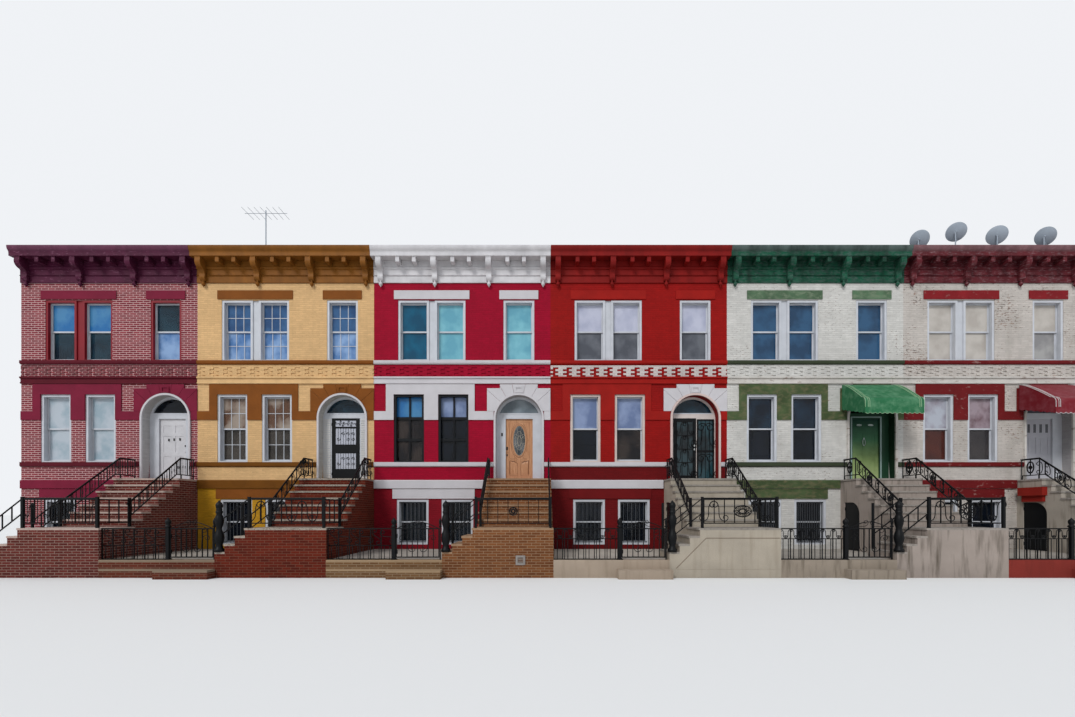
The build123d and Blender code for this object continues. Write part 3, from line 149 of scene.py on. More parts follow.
def rescaled(finish, value, low, high, new_low, new_high):
    """A value carried from one range to another and held inside it."""
    names = ("Value", "From Min", "From Max", "To Min", "To Max")
    return add(finish, "MapRange", dict(zip(names, (value, low, high, new_low, new_high))))[0]


def object_place(finish):
    return add(finish, "TexCoord", {})["Object"]


def stretched(finish, place, size):
    return add(finish, "Mapping", {"Vector": place, "Scale": size})[0]


def grain(finish, place, scale, detail=4.0, roughness=0.55):
    """Soft cloudy noise around 0.5."""
    return add(finish, "TexNoise", {"Vector": place, "Scale": scale, "Detail": detail, "Roughness": roughness})[0]


def blotched(finish, paint, place, scale, low, high):
    """Darken and lighten a colour in soft patches."""
    return multiplied(finish, paint, rescaled(finish, grain(finish, place, scale), 0.3, 0.7, low, high))


def weathered(finish, paint, under, cloud, low, high, share=1.0):
    """Let a second colour through where a cloudy value rises from low to high."""
    return mixed(finish, rescaled(finish, cloud, low, high, 0, share), paint, tone(under))


def surfaced(finish, paint, relief=None, depth=0.0):
    """Give a material its colour, and raise its face by a relief from 0 to 1 times a depth."""
    finish.node_tree.links.new(paint, shader_input(finish, "Base Color"))
    if relief is not None:
        bump = add(finish, "Bump", {"Height": relief, "Distance": depth, "Strength": 1.0})
        finish.node_tree.links.new(bump[0], shader_input(finish, "Normal"))
    return finish


def wall_place(finish):
    """Coordinates laid flat on a wall, along it and up it, whichever way the wall faces."""
    coordinates = add(finish, "TexCoord", {})
    x, y, z = add(finish, "SeparateXYZ", {0: coordinates["Object"]})
    facing = add(finish, "SeparateXYZ", {0: coordinates["Normal"]})
    turned, flat = [math_node(finish, "GREATER_THAN", math_node(finish, "ABSOLUTE", facing[axis]), 0.6)
                    for axis in (0, 2)]
    along = add(finish, "Mix", {0: turned, 2: x, 3: y})[0]
    up = add(finish, "Mix", {0: flat, 2: z, 3: y})[0]
    return add(finish, "CombineXYZ", {0: along, 1: up})[0], z


def brick_finish(name, paint, second=None, joint=None, joint_width=0.009, low=None, worn=0.0, coping=None):
    """Running-bond brick, bare with pale joints or painted, with a second colour or a coping where given."""
    finish = new_finish(name, 0.85 if joint else 0.7)
    place, height = wall_place(finish)
    shades = {"Color1": (1, 1, 1, 1), "Color2": (0.86, 0.86, 0.86, 1), "Mortar": (0.9, 0.9, 0.9, 1)}
    bond = add(finish, "TexBrick", {"Vector": place, "Scale": 1.0, **shades, "Mortar Size": joint_width,
                                    "Mortar Smooth": 0.25, "Bias": 0.0, "Brick Width": brick_length,
                                    "Row Height": course_height})
    face = tone(paint)
    if second:
        face = mixed(finish, rescaled(finish, bond[0], 0.86, 1.0, 0, 1), tone(second), face)
    # A second colour below a height: the second house's own lower paint, and on the third and fourth houses their
    # paint darkened as painted shade, partly dirt on the fourth.
    if low:
        face = mixed(finish, math_node(finish, "LESS_THAN", height, low[1]), face, tone(low[0]))
    if not second:
        face = multiplied(finish, face, bond[0])
    face = blotched(finish, face, place, 0.6, 0.9, 1.08)
    face = blotched(finish, face, stretched(finish, place, (1, 0.3, 1)), 7, 0.95, 1.05)
    if joint:
        face = mixed(finish, bond[1], face, tone(joint))
    if worn:
        patches = rescaled(finish, grain(finish, place, 0.8, 3.0), 0.36, 0.64, -0.06, 0.09 * worn)
        flecks = grain(finish, stretched(finish, place, (0.55, 1.5, 1)), 15, 5.0, 0.72)
        seams = math_node(finish, "MULTIPLY", bond[1], 0.07)
        loose = math_node(finish, "ADD", math_node(finish, "ADD", patches, flecks), seams)
        under = weathered(finish, tone("4f3f38"), "93786a", grain(finish, place, 5), 0.4, 0.6)
        face = mixed(finish, rescaled(finish, loose, 0.655, 0.675, 0, 0.9), face, under)
        grime = grain(finish, stretched(finish, place, (1.4, 0.5, 1)), 1.7, 4.0)
        face = weathered(finish, face, "8d8378", grime, 0.5, 0.75, 0.35 * worn)
    if coping:
        for middle, half_height in ((0.425, 0.035), (0.20, 0.03)):
            slab = add(finish, "Math", {0: height, 1: middle, 2: half_height}, operation="COMPARE")[0]
            face = mixed(finish, slab, face, tone(coping))
    face = multiplied(finish, face, rescaled(finish, height, 0.3, 1.5, 0.82, 1.0))
    rough = math_node(finish, "MULTIPLY", grain(finish, place, 60), 0.25)
    return surfaced(finish, face, math_node(finish, "SUBTRACT", rough, bond[1]), 0.006)


def house_of(x):
    """Which house a place along the row belongs to."""
    return min(house_count - 1, max(0, int((x - row_left) // lot_width)))


def dress(node, finishes, choose=None):
    """Give a CAD node its finishes, chosen for each face by its house or by a rule of its own."""
    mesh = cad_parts[node].data
    mesh.materials.clear()
    for finish in finishes:
        mesh.materials.append(finish)
    if len(finishes) > 1:
        for face in mesh.polygons:
            face.material_index = choose(face) if choose else house_of(face.center.x)


front_bricks = [
    brick_finish("bare_red_brick", "893b40", "6e2a31", "c8a2a1", 0.010),
    brick_finish("cream_brick", "dbb27e", low=("c28e22", 2.41)),
    # The third and fourth houses' darker lower colours are painted shade on the walls behind the stoops, partly
    # dirt on the fourth.
    brick_finish("crimson_brick", "9c0428", low=("84101f", 2.41)),
    brick_finish("bright_red_brick", "94110e", low=("6b1013", 3.11)),
    brick_finish("white_peeling_brick", "cfccc6", worn=0.35),
    brick_finish("worn_white_brick", "c5bdb5", worn=1.0),
]
reveal_paints = [
    brick_finish("white_reveal", "bdbab8"),
    brick_finish("white_tiled_reveal", "c4c1bc", joint_width=0.006),
    brick_finish("white_pilaster", "c0bdbe"),
    brick_finish("red_reveal", "861d1b"),
    brick_finish("green_reveal", "17301f"),
    brick_finish("pale_reveal", "aaa6a6"),
]


def wall_or_reveal(face):
    """The front wall's own finish, or the reveal's inside the arched doorway."""
    house = house_of(face.center.x)
    across = abs(face.center.x - lots[house] - doorway_center)
    rise = max(0.0, face.center.z - arch_spring)
    inside = hypot(across, rise) < arch_radius + 0.02 and face.center.z > platform_height - 0.01
    return house + house_count if inside and abs(face.normal.y) < 0.5 else house


for node in ("window_bay_walls", "doorway_sill_walls"):
    dress(node, front_bricks)
frieze_paints = list(front_bricks)
frieze_paints[0] = brick_finish("dark_frieze_brick", "763038", "5c232b", "a07f7c", 0.009)
frieze_paints[3] = brick_finish("white_frieze_brick", "cbc1bc", joint_width=0.005)
dress("brick_friezes", frieze_paints)
for node in ("door_piers", "door_head_walls"):
    dress(node, front_bricks + reveal_paints, wall_or_reveal)

# Party walls with their chimney stacks, and the rear walls
# Common brick, laid 300 mm thick with grey mortar and never painted. The party walls rise above the roof as
# parapets, and each carries one stack.
common_brick = brick_finish("common_brick", "7c5347", "694238", "9b8d82", 0.011)
for node in ("party_walls", "rear_walls"):
    dress(node, [common_brick])

# Floors and roof decks
# Timber floors with oiled boards, a concrete basement slab, and flat roofs with rolled felt laid in strips.


def laid_rows(finish, place, shades, gap, length, width):
    """Boards or strips in rows, in two shades with a dark gap between them."""
    colours = dict(zip(("Color1", "Color2", "Mortar"), map(tone, shades)))
    sizes = {"Scale": 1.0, "Mortar Size": gap, "Brick Width": length, "Row Height": width}
    return add(finish, "TexBrick", {"Vector": place, **colours, **sizes})[0]


boards = new_finish("floor_boards", 0.55)
place = object_place(boards)
rows = laid_rows(boards, place, ("8a6242", "7a5539", "20150f"), 0.002, 1.8, 0.09)
dress("floors", [surfaced(boards, blotched(boards, rows, stretched(boards, place, (2, 40, 1)), 3, 0.85, 1.1))])
felt = new_finish("rolled_roofing", 0.95)
place = object_place(felt)
strips = laid_rows(felt, place, ("6a6b6d", "5d5e60", "333436"), 0.012, 8.0, 1.0)
dress("roof_decks", [surfaced(felt, blotched(felt, strips, place, 2.2, 0.85, 1.15), grain(felt, place, 90), 0.003)])

# Stoops
# Brick or stucco over rubble fill, with a thick stone tread on every step. The first house's brick has pale
# joints, the next two are darker and lighter brick, and the last three are stuccoed or cast.


def stucco_finish(name, paint, stain, streaks, lines=0.0):
    """Trowelled stucco or cast concrete with rain streaks down it."""
    finish = new_finish(name, 0.9)
    place, height = wall_place(finish)
    body = blotched(finish, tone(paint), place, 1.6, 0.9, 1.08)
    runs = grain(finish, stretched(finish, place, (3.2, 0.35, 1)), 2.0, 5.0)
    body = weathered(finish, body, stain, runs, 0.5, 0.72, streaks)
    body = multiplied(finish, body, rescaled(finish, height, 0.0, 0.5, 0.86, 1.0))
    pits = math_node(finish, "ADD", grain(finish, place, 38), math_node(finish, "MULTIPLY", runs, lines))
    return surfaced(finish, body, pits, 0.004)


stoop_masonry = [
    brick_finish("brick_pale_joints", "6a2f28", "53231e", "93776c", 0.008),
    brick_finish("dark_red_brick", "6a2415", "521b11", "77503f", 0.006),
    brick_finish("orange_brown_brick", "80502f", "673d24", "98795d", 0.008),
    stucco_finish("beige_stucco", "a59b8c", "857a6a", 0.4),
    stucco_finish("grey_stucco", "9b8f86", "5f564c", 0.95, 0.5),
    stucco_finish("weathered_concrete", "a59c90", "655b50", 0.95, 0.5),
]
for node in ("stoop_platforms", "stoop_flights", "stoop_landings", "stoop_side_walls", "stoop_door_heads"):
    dress(node, stoop_masonry)


def show(bm, name, finish, body="row", smooth=False):
    """Turn the built mesh into a piece that moves with one body."""
    mesh = bpy.data.meshes.new(name)
    bm.to_mesh(mesh)
    bm.free()
    mesh.materials.append(finish)
    if smooth:
        mesh.polygons.foreach_set("use_smooth", [True] * len(mesh.polygons))
    piece = bpy.data.objects.new(name, mesh)
    bpy.context.scene.collection.objects.link(piece)
    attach(piece, body)
    return piece


def add_boxes(bm, corner, *rows):
    """Blocks by their edges, left, right, near, far, bottom and top, all measured from one corner."""
    for left, right, near, far, bottom, top in rows:
        places = [Vector((x, y, z)) for x in (left, right) for y in (near, far) for z in (bottom, top)]
        corners = [bm.verts.new(Vector(corner) + place) for place in places]
        for face in ((0, 1, 3, 2), (4, 6, 7, 5), (0, 4, 5, 1), (2, 3, 7, 6), (0, 2, 6, 4), (1, 5, 7, 3)):
            bm.faces.new([corners[n] for n in face])


def show_boxes(name, finish, corner, rows, body="row"):
    bm = bmesh.new()
    add_boxes(bm, corner, *rows)
    show(bm, name, finish, body)


def join_rows(bm, rows, around=False):
    """Faces between each row of points and the next, closed round the rows' ends where asked."""
    for first, second in zip(rows, rows[1:]):
        for k in range(len(first) if around else len(first) - 1):
            other = (k + 1) % len(first)
            bm.faces.new((first[k], first[other], second[other], second[k]))


def add_tube(bm, points, radius, sides=6, closed=False):
    """A bar of round or many-sided section along a list of points."""
    places = [Vector(p) for p in points]
    never_along = Vector((0.31, 0.17, 0.93))
    count = len(places)
    rings = []
    for n, place in enumerate(places):
        before = places[n - 1] if closed or n else place
        after = places[(n + 1) % count] if closed or n < count - 1 else place
        along = (after - before).normalized()
        side = along.cross(never_along).normalized()
        up = side.cross(along)
        angles = [2 * pi * (k + 0.5) / sides for k in range(sides)]
        rings.append([bm.verts.new(place + radius * (cos(a) * side + sin(a) * up)) for a in angles])
    join_rows(bm, rings + rings[:1] if closed else rings, True)
    if not closed:
        bm.faces.new(rings[0][::-1])
        bm.faces.new(rings[-1])


stoop_front_y = facade_y - 3.6
panel_lines = bmesh.new()
for start, end in (((3.08, 0.24), (3.83, 1.0)), ((3.83, 1.0), (5.68, 1.0))):
    add_tube(panel_lines, [(lots[3] + x, stoop_front_y - 0.002, z) for x, z in (start, end)], 0.009, 4)
show(panel_lines, "stucco_panel_line", stucco_finish("shadowed_stucco", "7d6f60", "6b5e50", 0.2))
show_boxes("stucco_base_band", stoop_masonry[3], (lots[3], stoop_front_y, 0),
           [(2.9, 5.71, -0.018, 0.01, 0.004, 0.21)])
vent_sides = ((-0.12, 0.12, 0.07, 0.12), (-0.12, 0.12, -0.12, -0.07), (-0.12, -0.07, -0.07, 0.07),
              (0.07, 0.12, -0.07, 0.07))
vent_blocks = [(left, right, -0.025, 0.005, bottom, top) for left, right, bottom, top in vent_sides]
vent_blocks += [(-0.07, 0.07, -0.012, 0.002, low, low + 0.012) for low in (-0.060, -0.026, 0.008, 0.042)]
show_boxes("vent_surround", stucco_finish("grey_render", "8b8580", "5c5855", 0.4),
           (lots[2] + 4.885, stoop_front_y, 0.445), vent_blocks)
show_boxes("side_door_hood", stucco_finish("red_hood_paint", "8a241c", "5d1f18", 0.4), (lots[5] + 3.692, 0, 0),
           [(-0.17, 0, -5.86, -5.08, 2.16, 2.42), (-0.10, 0, -5.80, -5.14, 1.97, 2.16)])


def stone_finish(name, stone, fleck, flecks=0.0):
    """Dense stone, with darker flecks where it is terrazzo or coarse."""
    finish = new_finish(name, 0.75)
    place = object_place(finish)
    body = blotched(finish, tone(stone), place, 1.8, 0.88, 1.1)
    if flecks:
        cells = add(finish, "TexVoronoi", {"Vector": place, "Scale": 34.0}, feature="F1")[0]
        body = mixed(finish, math_node(finish, "LESS_THAN", cells, flecks), body, tone(fleck))
    body = weathered(finish, body, fleck, grain(finish, place, 11), 0.5, 0.75, 0.5)
    return surfaced(finish, body, grain(finish, place, 50), 0.003)


dress("stone_treads", [
    stone_finish("pale_treads", "b09c92", "8a7468"),
    stone_finish("speckled_treads", "9b9084", "4a3a31", 0.28),
    stone_finish("tan_treads", "96795f", "6f5642"),
    stone_finish("grey_treads", "8f887f", "625b54"),
    stone_finish("worn_grey_treads", "938b83", "5a534c"),
    stone_finish("light_grey_treads", "968f88", "605a54"),
])

# Forecourts and curbs
# Broomed concrete paving behind a low curb, with one step up at each gate. The curbs are brick under a stone
# coping, plain concrete, or concrete painted red, as each house has it.
paving = [stucco_finish("paving", "9b948b", "776f66", 0.3), stucco_finish("pale_paving", "aaa297", "8c8478", 0.2)]
dress("forecourts", paving, lambda face: 1 if house_of(face.center.x) == 3 else 0)
dress("front_curbs", [
    brick_finish("curb_red_brick", "6a3329", "552a22", "8a7063", 0.008, coping="a39a8f"),
    brick_finish("curb_dark_brick", "6a3020", "57271b", "7a5a4b", 0.008, coping="8f7c69"),
    brick_finish("curb_tan_brick", "7a5a3c", "68492f", "917a60", 0.009, coping="a58b6d"),
    stucco_finish("curb_concrete", "a39382", "7d6e5d", 0.5),
    stucco_finish("curb_rough_concrete", "938779", "5f5548", 0.9, 0.6),
    stucco_finish("curb_red_paint", "7e3029", "5d2720", 0.5),
])

# Stone and painted trim
# Brownstone courses, lintels, window surrounds, voussoirs and arch mouldings, each set in or on the brick and
# painted in the house's own colours. The fifth and sixth houses' paint is mottled and chipped.


def painted_stone(name, paint, under, chips=0.0, blotch=0.12):
    """Tooled stone under paint, with the older paint or bare stone showing through in chips."""
    finish = new_finish(name, 0.68)
    place = object_place(finish)
    body = blotched(finish, tone(paint), place, 2.3, 1 - blotch, 1 + blotch)
    if chips:
        loose = grain(finish, stretched(finish, place, (0.7, 1, 1.4)), 6.5, 6.0, 0.62)
        body = weathered(finish, body, under, loose, 0.62 - chips * 0.2, 0.66, 0.85)
    return surfaced(finish, body, grain(finish, place, 28, 5.0), 0.004)


# Each paint: its colour, what shows under it, and how far it is chipped and blotched
trim_codes = {
    "raspberry": ("741a32", "561626"), "maroon": ("56121f", "42121a"), "brown": ("7a4516", "5b3414"),
    "dark_brown": ("6a3f0c", "4a2c10"), "cream": ("d6b07e", "a98a63"), "white": ("c3bfc1", "a6a2a3", 0.0, 0.05),
    "red": ("931711", "6b1310"), "deep_red": ("671012", "4c0f11"), "shell_pink": ("cdb7b0", "b39c94", 0.0, 0.05),
    "mottled_green": ("445234", "6a654a", 0.8, 0.3), "dark_olive": ("39402f", "2c3025"),
    "off_white": ("c2bdb6", "8f7f75", 0.25), "chipped_red": ("671719", "8f6a64", 0.1, 0.13),
}
trim_paints = {name: painted_stone(f"{name}_paint", *codes) for name, codes in trim_codes.items()}
# The courses' paints on the six houses, by the height under which each course lies
course_plan = (
    (3.0, "raspberry dark_brown white white mottled_green chipped_red"),
    (4.0, "maroon dark_brown white white dark_olive chipped_red"),
    (6.1, "maroon cream white red off_white off_white"),
    (7.0, "maroon brown white red dark_olive chipped_red"),
)


def course_paint(face):
    paints = next(paints for top, paints in course_plan if face.center.z < top)
    return list(trim_paints).index(paints.split()[house_of(face.center.x)])


def paints_of(names):
    return [trim_paints[name] for name in names.split()]


def lintel_paint(face):
    """The house's own paint, and others at the rear, on three upper floors and over one basement window."""
    house = house_of(face.center.x)
    if face.center.y > 0:
        return 7
    if house > 3 and face.center.z > 8:
        return 8 if house == 4 else 9
    # The fourth house's basement lintels take deep red, painted shade like its lower wall.
    return 6 if house == 3 and face.center.z < 4 else house


dress("stone_courses", list(trim_paints.values()), course_paint)
dress("window_lintels", paints_of("raspberry brown white red mottled_green chipped_red deep_red") + [
    painted_stone("rear_brownstone", "6b5147", "54403a"),
    painted_stone("faded_green_paint", "50694f", "76836c", 0.8, 0.3),
    painted_stone("bright_chipped_paint", "7f1d22", "8f6a64", 0.12, 0.16),
], lintel_paint)
dress("window_surrounds", paints_of("raspberry brown white red mottled_green chipped_red"))
dress("door_voussoirs", paints_of("raspberry brown white white mottled_green chipped_red"))
dress("arch_mouldings", paints_of("white white white shell_pink off_white off_white"))

# Windows
# Painted timber frames with an upper and a lower sash, each with one sheet of glass. The third house's parlour
# frames are black, and the first house's upper mullions are dark red.


def gloss_paint(name, paint, roughness=0.4, dirt=0.08, shine=0.3):
    """Smooth paint on timber or metal, slightly dirty."""
    finish = new_finish(name, roughness, shine)
    place = object_place(finish)
    body = blotched(finish, tone(paint), place, 3.0, 1 - dirt, 1 + dirt)
    return surfaced(finish, body, grain(finish, place, 70, 2.0), 0.0008)


white_joinery = gloss_paint("white_joinery", "bfc1c6")
black_joinery = gloss_paint("black_joinery", "0f1114", 0.45, 0.2, 0.15)
red_joinery = gloss_paint("red_joinery", "7d0f1c")


def frame_paint(face):
    house = house_of(face.center.x)
    local = face.center.x - lots[house]
    if house == 2 and 3 < face.center.z < 5.6:
        return 1
    inner = abs(local - 1.87) < 0.097 and face.center.z > 6.5
    return 2 if house == 0 and inner else 0


dress("front_window_frames", [white_joinery, black_joinery, red_joinery], frame_paint)
dress("rear_window_frames", [white_joinery])

frame_front = facade_y + 0.11
basement_windows = [(left, left + 1.03, 0.597, 2.056) for left in (0.735, 2.185)]
parlour_windows = [(left, left + 0.98, 3.260, 5.456) for left in (0.640, 2.080)]
upper_windows = [(0.780, 1.775, 6.545, 8.510), (1.965, 2.960, 6.545, 8.510), (4.190, 5.190, 6.545, 8.510)]


def glass_finish(name, light, dark, seen_through=0.0):
    """Window glass coloured with painted reflections of sky and street, the cloth behind it, and painted shade of
    dark rooms, as soft patches of two tints.
    """
    finish = new_finish(name, 0.06, 0.3)
    streaks = grain(finish, stretched(finish, object_place(finish), (0.9, 1, 0.8)), 1.9, 4.0, 0.5)
    shader_input(finish, "Alpha").default_value = 1 - seen_through
    return surfaced(finish, weathered(finish, tone(light), dark, streaks, 0.42, 0.6))


# Each tint: two colours, which are painted reflections of sky and street, cloth behind the glass, and painted shade
# of dark rooms, and how much shows through.
tints = {
    "fan": ("8a959b", "646f76", 0.1), "sky": ("2a6ea9", "4b86b2", 0.1), "slate": ("24404e", "1b2c38", 0.25),
    "teal": ("0c5d7c", "0a4a66", 0.1), "pale": ("7fbecb", "67a7ba", 0.12), "haze": ("8c9cbe", "6a7ba0", 0.15),
    "mist": ("bcc5cd", "9db0ba", 0.15), "lilac": ("c3c5d6", "aeb1c6", 0.12), "navy": ("31587a", "24425f", 0.12),
    "beige": ("c6bfb6", "b5ada4", 0.12), "rust": ("5d2c22", "43231f", 0.2), "grey": ("6d7077", "53565e", 0.2),
    "dark": ("161c26", "0f141b", 0.35), "brown": ("6a4c3a", "a8998b", 0.3), "lace": ("4d78ae", "8faed6", 0.15),
    "dusk": ("223445", "171f2a", 0.25), "cloud": ("b6bac4", "938a94", 0.15), "dim": ("4d4741", "35312d", 0.3),
    "blush": ("a39299", "6a4f55", 0.2), "shade": ("443f3f", "353234", 0.25), "umber": ("3f3632", "1c1a1d", 0.3),
    "denim": ("3d6590", "2d4f7a", 0.15), "pearl": ("a9a7a4", "8d8b8b", 0.15),
}
# Each house's front windows, three upper and two parlour ones, by the tints of their upper and lower sashes
glass_plan = (
    "sky/slate sky/slate slate/lace mist/mist mist/mist",
    "denim/lace denim/lace denim/lace brown/dim brown/dim",
    "teal/teal pale/pale pale/pale sky/umber haze/dark",
    "lilac/grey lilac/grey lilac/grey haze/dark haze/umber",
    "navy/navy navy/navy navy/navy dusk/dark dusk/dark",
    "beige/beige beige/beige beige/pearl cloud/rust blush/shade",
)
fanlight_plan = ("dark", "slate", "fan", "slate", "dark", "grey")


def glass_tint(face):
    """The tint of a pane, from its house, window and sash."""
    x, y, z = face.center
    house = house_of(x)
    local = x - lots[house]
    # The rear and basement panes take the dark tint, painted shade of the rooms behind them.
    if y > 0 or z < 2.5:
        tint = "dark"
    elif z < 6.5 and local > 3.6:
        tint = fanlight_plan[house]
    else:
        if z > 6.5:
            window = 0 if local < 1.87 else 1 if local < 3.5 else 2
            sash_line = 7.52
        else:
            window = 3 if local < 1.85 else 4
            sash_line = 4.7 if house == 2 else 4.36
        tint = glass_plan[house].split()[window].split("/")[0 if z > sash_line else 1]
    return list(tints).index(tint)


dress("window_glass", [glass_finish(f"{name}_glass", *codes) for name, codes in tints.items()], glass_tint)


def add_casing(bm, left, right, bottom, top, face, near, far):
    """Four boards round an opening, inside its edges."""
    add_boxes(bm, (0, 0, 0), (left, left + face, near, far, bottom, top),
              (right - face, right, near, far, bottom, top),
              (left + face, right - face, near, far, top - face, top),
              (left + face, right - face, near, far, bottom, bottom + face * 0.6))


casing_paints = {"white": white_joinery, "black": black_joinery, "red": red_joinery,
                 "cream": gloss_paint("cream_casing", "c6b6ad")}
casing_plan = (("red", "white"), ("white", "white"), ("white", "black"), ("white", "cream"), ("white", "white"),
               ("white", "white"))
for house, (upper_paint, parlour_paint) in enumerate(casing_plan):
    for floor, windows, paint, face in (("upper", upper_windows, upper_paint, 0.07),
                                        ("parlour", parlour_windows, parlour_paint, 0.075),
                                        ("basement", basement_windows, "white", 0.075)):
        casings = bmesh.new()
        for left, right, bottom, top in windows:
            add_casing(casings, lots[house] + left, lots[house] + right, bottom, top, face,
                       facade_y + 0.018, frame_front + 0.001)
        show(casings, f"house_{house + 1}_{floor}_casings", casing_paints[paint])

# Blinds and curtains in the windows
# Pale roller blinds and gathered cotton curtains, hung from rods just behind the frames.
hanging_y = facade_y + 0.255


def cloth_finish(name, paint):
    """Thin woven cloth, shown opaque."""
    finish = new_finish(name, 0.9)
    place = object_place(finish)
    body = blotched(finish, tone(paint), stretched(finish, place, (6, 1, 0.6)), 2.4, 0.86, 1.06)
    return surfaced(finish, body, grain(finish, place, 240, 1.0), 0.0006)


def hang(name, finish, left, right, bottom, top, fold=0.0, wave=0.09):
    """A flat blind, or a curtain with even folds."""
    bm = bmesh.new()
    columns = int((right - left) / wave * 8) if fold else 2
    rows = 10
    grid = []
    for column in range(columns + 1):
        x = left + (right - left) * column / columns
        shift = fold * sin(2 * pi * (x - left) / wave)
        grid.append([bm.verts.new((x, hanging_y + shift * (0.6 + 0.4 * r / rows), top - (top - bottom) * r / rows))
                     for r in range(rows + 1)])
    join_rows(bm, grid)
    piece = show(bm, name, finish, smooth=True)


cloths = {name.split("_")[0]: cloth_finish(name, paint) for name, paint in (
    ("white_curtain_cloth", "d6d8de"), ("pale_blind", "cfd2da"), ("beige_blind", "c4bbb2"),
    ("brown_curtain_cloth", "6b4a3a"), ("teal_curtain_cloth", "2c5a54"), ("grey_curtain_cloth", "83878f"))}
windows_by_name = dict(zip("abcdefg", upper_windows + parlour_windows + basement_windows))
# Each row: house, windows (a to c upper, d and e parlour, f and g basement), cloth, the lower and upper end as
# shares of the window's height, the depth of the folds, and the spans of its width where it isn't all covered
hangings = (
    (0, "ab", "white", 0, 0.34, 0.012), (0, "c", "white", 0, 0.36, 0.012), (0, "de", "white", 0, 1, 0.014),
    (1, "ab", "white", 0, 1, 0.014, (0, 0.3), (0.7, 1)), (1, "c", "white", 0, 1, 0.014, (0, 0.28), (0.72, 1)),
    (1, "d", "brown", 0.5, 1, 0.012, (0, 0.4)), (1, "d", "white", 0.5, 1, 0.012, (0.42, 1)),
    (1, "e", "white", 0.5, 1, 0.012, (0, 0.55)), (1, "e", "brown", 0.5, 1, 0.012, (0.6, 1)),
    (2, "a", "grey", 0, 1, 0.012, (0.8, 1)), (2, "bc", "pale", 0, 1, 0), (2, "fg", "teal", 0, 1, 0.014),
    (2, "d", "brown", 0, 0.6, 0.012, (0.2, 0.8)), (3, "a", "pale", 0.14, 1, 0), (3, "b", "pale", 0.3, 1, 0),
    (3, "c", "pale", 0.42, 1, 0), (3, "de", "grey", 0.5, 1, 0.01), (4, "d", "grey", 0.1, 0.7, 0, (0.3, 0.9)),
    (4, "a", "grey", 0.5, 1, 0.01), (5, "a", "beige", 0.5, 1, 0), (5, "b", "beige", 0.36, 1, 0),
    (5, "c", "beige", 0.44, 1, 0), (5, "e", "grey", 0.5, 1, 0),
)
side_gap = 0.07
end_gap = 0.05
number = 0
for house, windows, cloth, low, high, fold, *spans in hangings:
    for window in windows:
        left, right, bottom, top = windows_by_name[window]
        left += lots[house] + side_gap
        width = right + lots[house] - side_gap - left
        for first, last in spans or [(0, 1)]:
            number += 1
            hang(f"house_{house + 1}_hanging_{number}", cloths[cloth], left + width * first, left + width * last,
                 bottom + end_gap + (top - bottom) * low * 0.95, bottom + (top - bottom) * high - end_gap, fold)

# Guards over the basement windows
# Straight bars set between the reveals, under grey paint that has weathered.
dress("window_grilles", [gloss_paint("weathered_bars", "45474a", 0.5)])

# Door frames and front doors
# Timber frames with a transom and a fanlight over it. The doors are panelled timber, except the second and
# fourth houses' iron storm doors.
dress("door_frames", [white_joinery, white_joinery, white_joinery, gloss_paint("cream_joinery", "c9beb8"),
                      gloss_paint("green_joinery", "1f3f2c"), white_joinery])


def oak_finish(name):
    """Varnished oak with a long grain."""
    finish = new_finish(name, 0.32)
    rings = grain(finish, stretched(finish, object_place(finish), (14, 1, 0.9)), 3.5, 5.0, 0.6)
    return surfaced(finish, weathered(finish, tone("c69672"), "a97552", rings, 0.35, 0.65), rings, 0.0012)


def door_paint_with_painted_shade(name, steps):
    """Paint that changes up the door from painted light at its foot to painted shade from the awning at its top."""
    finish = new_finish(name, 0.4)
    place = object_place(finish)
    height = add(finish, "SeparateXYZ", {0: place})[2]
    ramp = add(finish, "ValToRGB", {0: rescaled(finish, height, platform_height, 4.73, 0, 1)})
    stops = ramp[0].node.color_ramp.elements
    while len(stops) < len(steps):
        stops.new(0.5)
    for stop, (share, code) in zip(stops, steps):
        stop.position = share
        stop.color = tone(code)
    return surfaced(finish, blotched(finish, ramp[0], place, 5.0, 0.88, 1.1), grain(finish, place, 60, 2.0), 0.001)


iron = gloss_paint("black_iron_paint", "0a0b0d", 0.45, 0.3, 0.15)
black_iron = gloss_paint("black_iron_door", "0b0d0f", 0.4, 0.2, 0.15)
door_paints = [
    gloss_paint("white_door", "c4c2c4"),
    black_iron,
    oak_finish("oak_door"),
    black_iron,
    # The green door is lighter at its foot and darker at its top: painted light, and painted shade from the awning.
    door_paint_with_painted_shade("green_door", ((0.0, "a4b37c"), (0.32, "83985f"), (0.66, "3f6b4b"), (1.0, "12322a"))),
    gloss_paint("pale_door", "adacb2"),
]
for n, paint in enumerate(door_paints):
    dress(f"house_{n + 1}_front_door", [paint])
    dress(f"house_{n + 1}_stoop_door", [black_iron])

dark_fitting = gloss_paint("dark_fitting", "2a2826", 0.35)
shader_input(dark_fitting, "Metallic").default_value = 0.6
leaf_width = 0.914
# Each leaf's lower left corner on its outer face
leaf_corners = [(lots[n] + doorway_center - (0.630 if n == 3 else leaf_width / 2),
                 facade_y + (0.28 if n in (1, 3) else 0.335), platform_height) for n in range(house_count)]


def spiral(size, turns=1.15, steps=30, mirrored=False):
    """Points of an S-scroll or C-scroll of one height, whose bend tightens evenly toward both ends."""
    step = 1 / steps
    halves = []
    for sign in (1, -1):
        u = v = 0.0
        half = [(0.0, 0.0)]
        for n in range(steps):
            bend = 2 * pi * turns * ((n + 0.5) * step) ** 2
            u += sin(bend) * step * (1 if mirrored else sign)
            v += cos(bend) * step * sign
            half.append((u, v))
        halves.append(half)
    points = halves[1][::-1] + halves[0][1:]
    tall = max(v for u, v in points) - min(v for u, v in points)
    return [(u * size / tall, v * size / tall) for u, v in points]


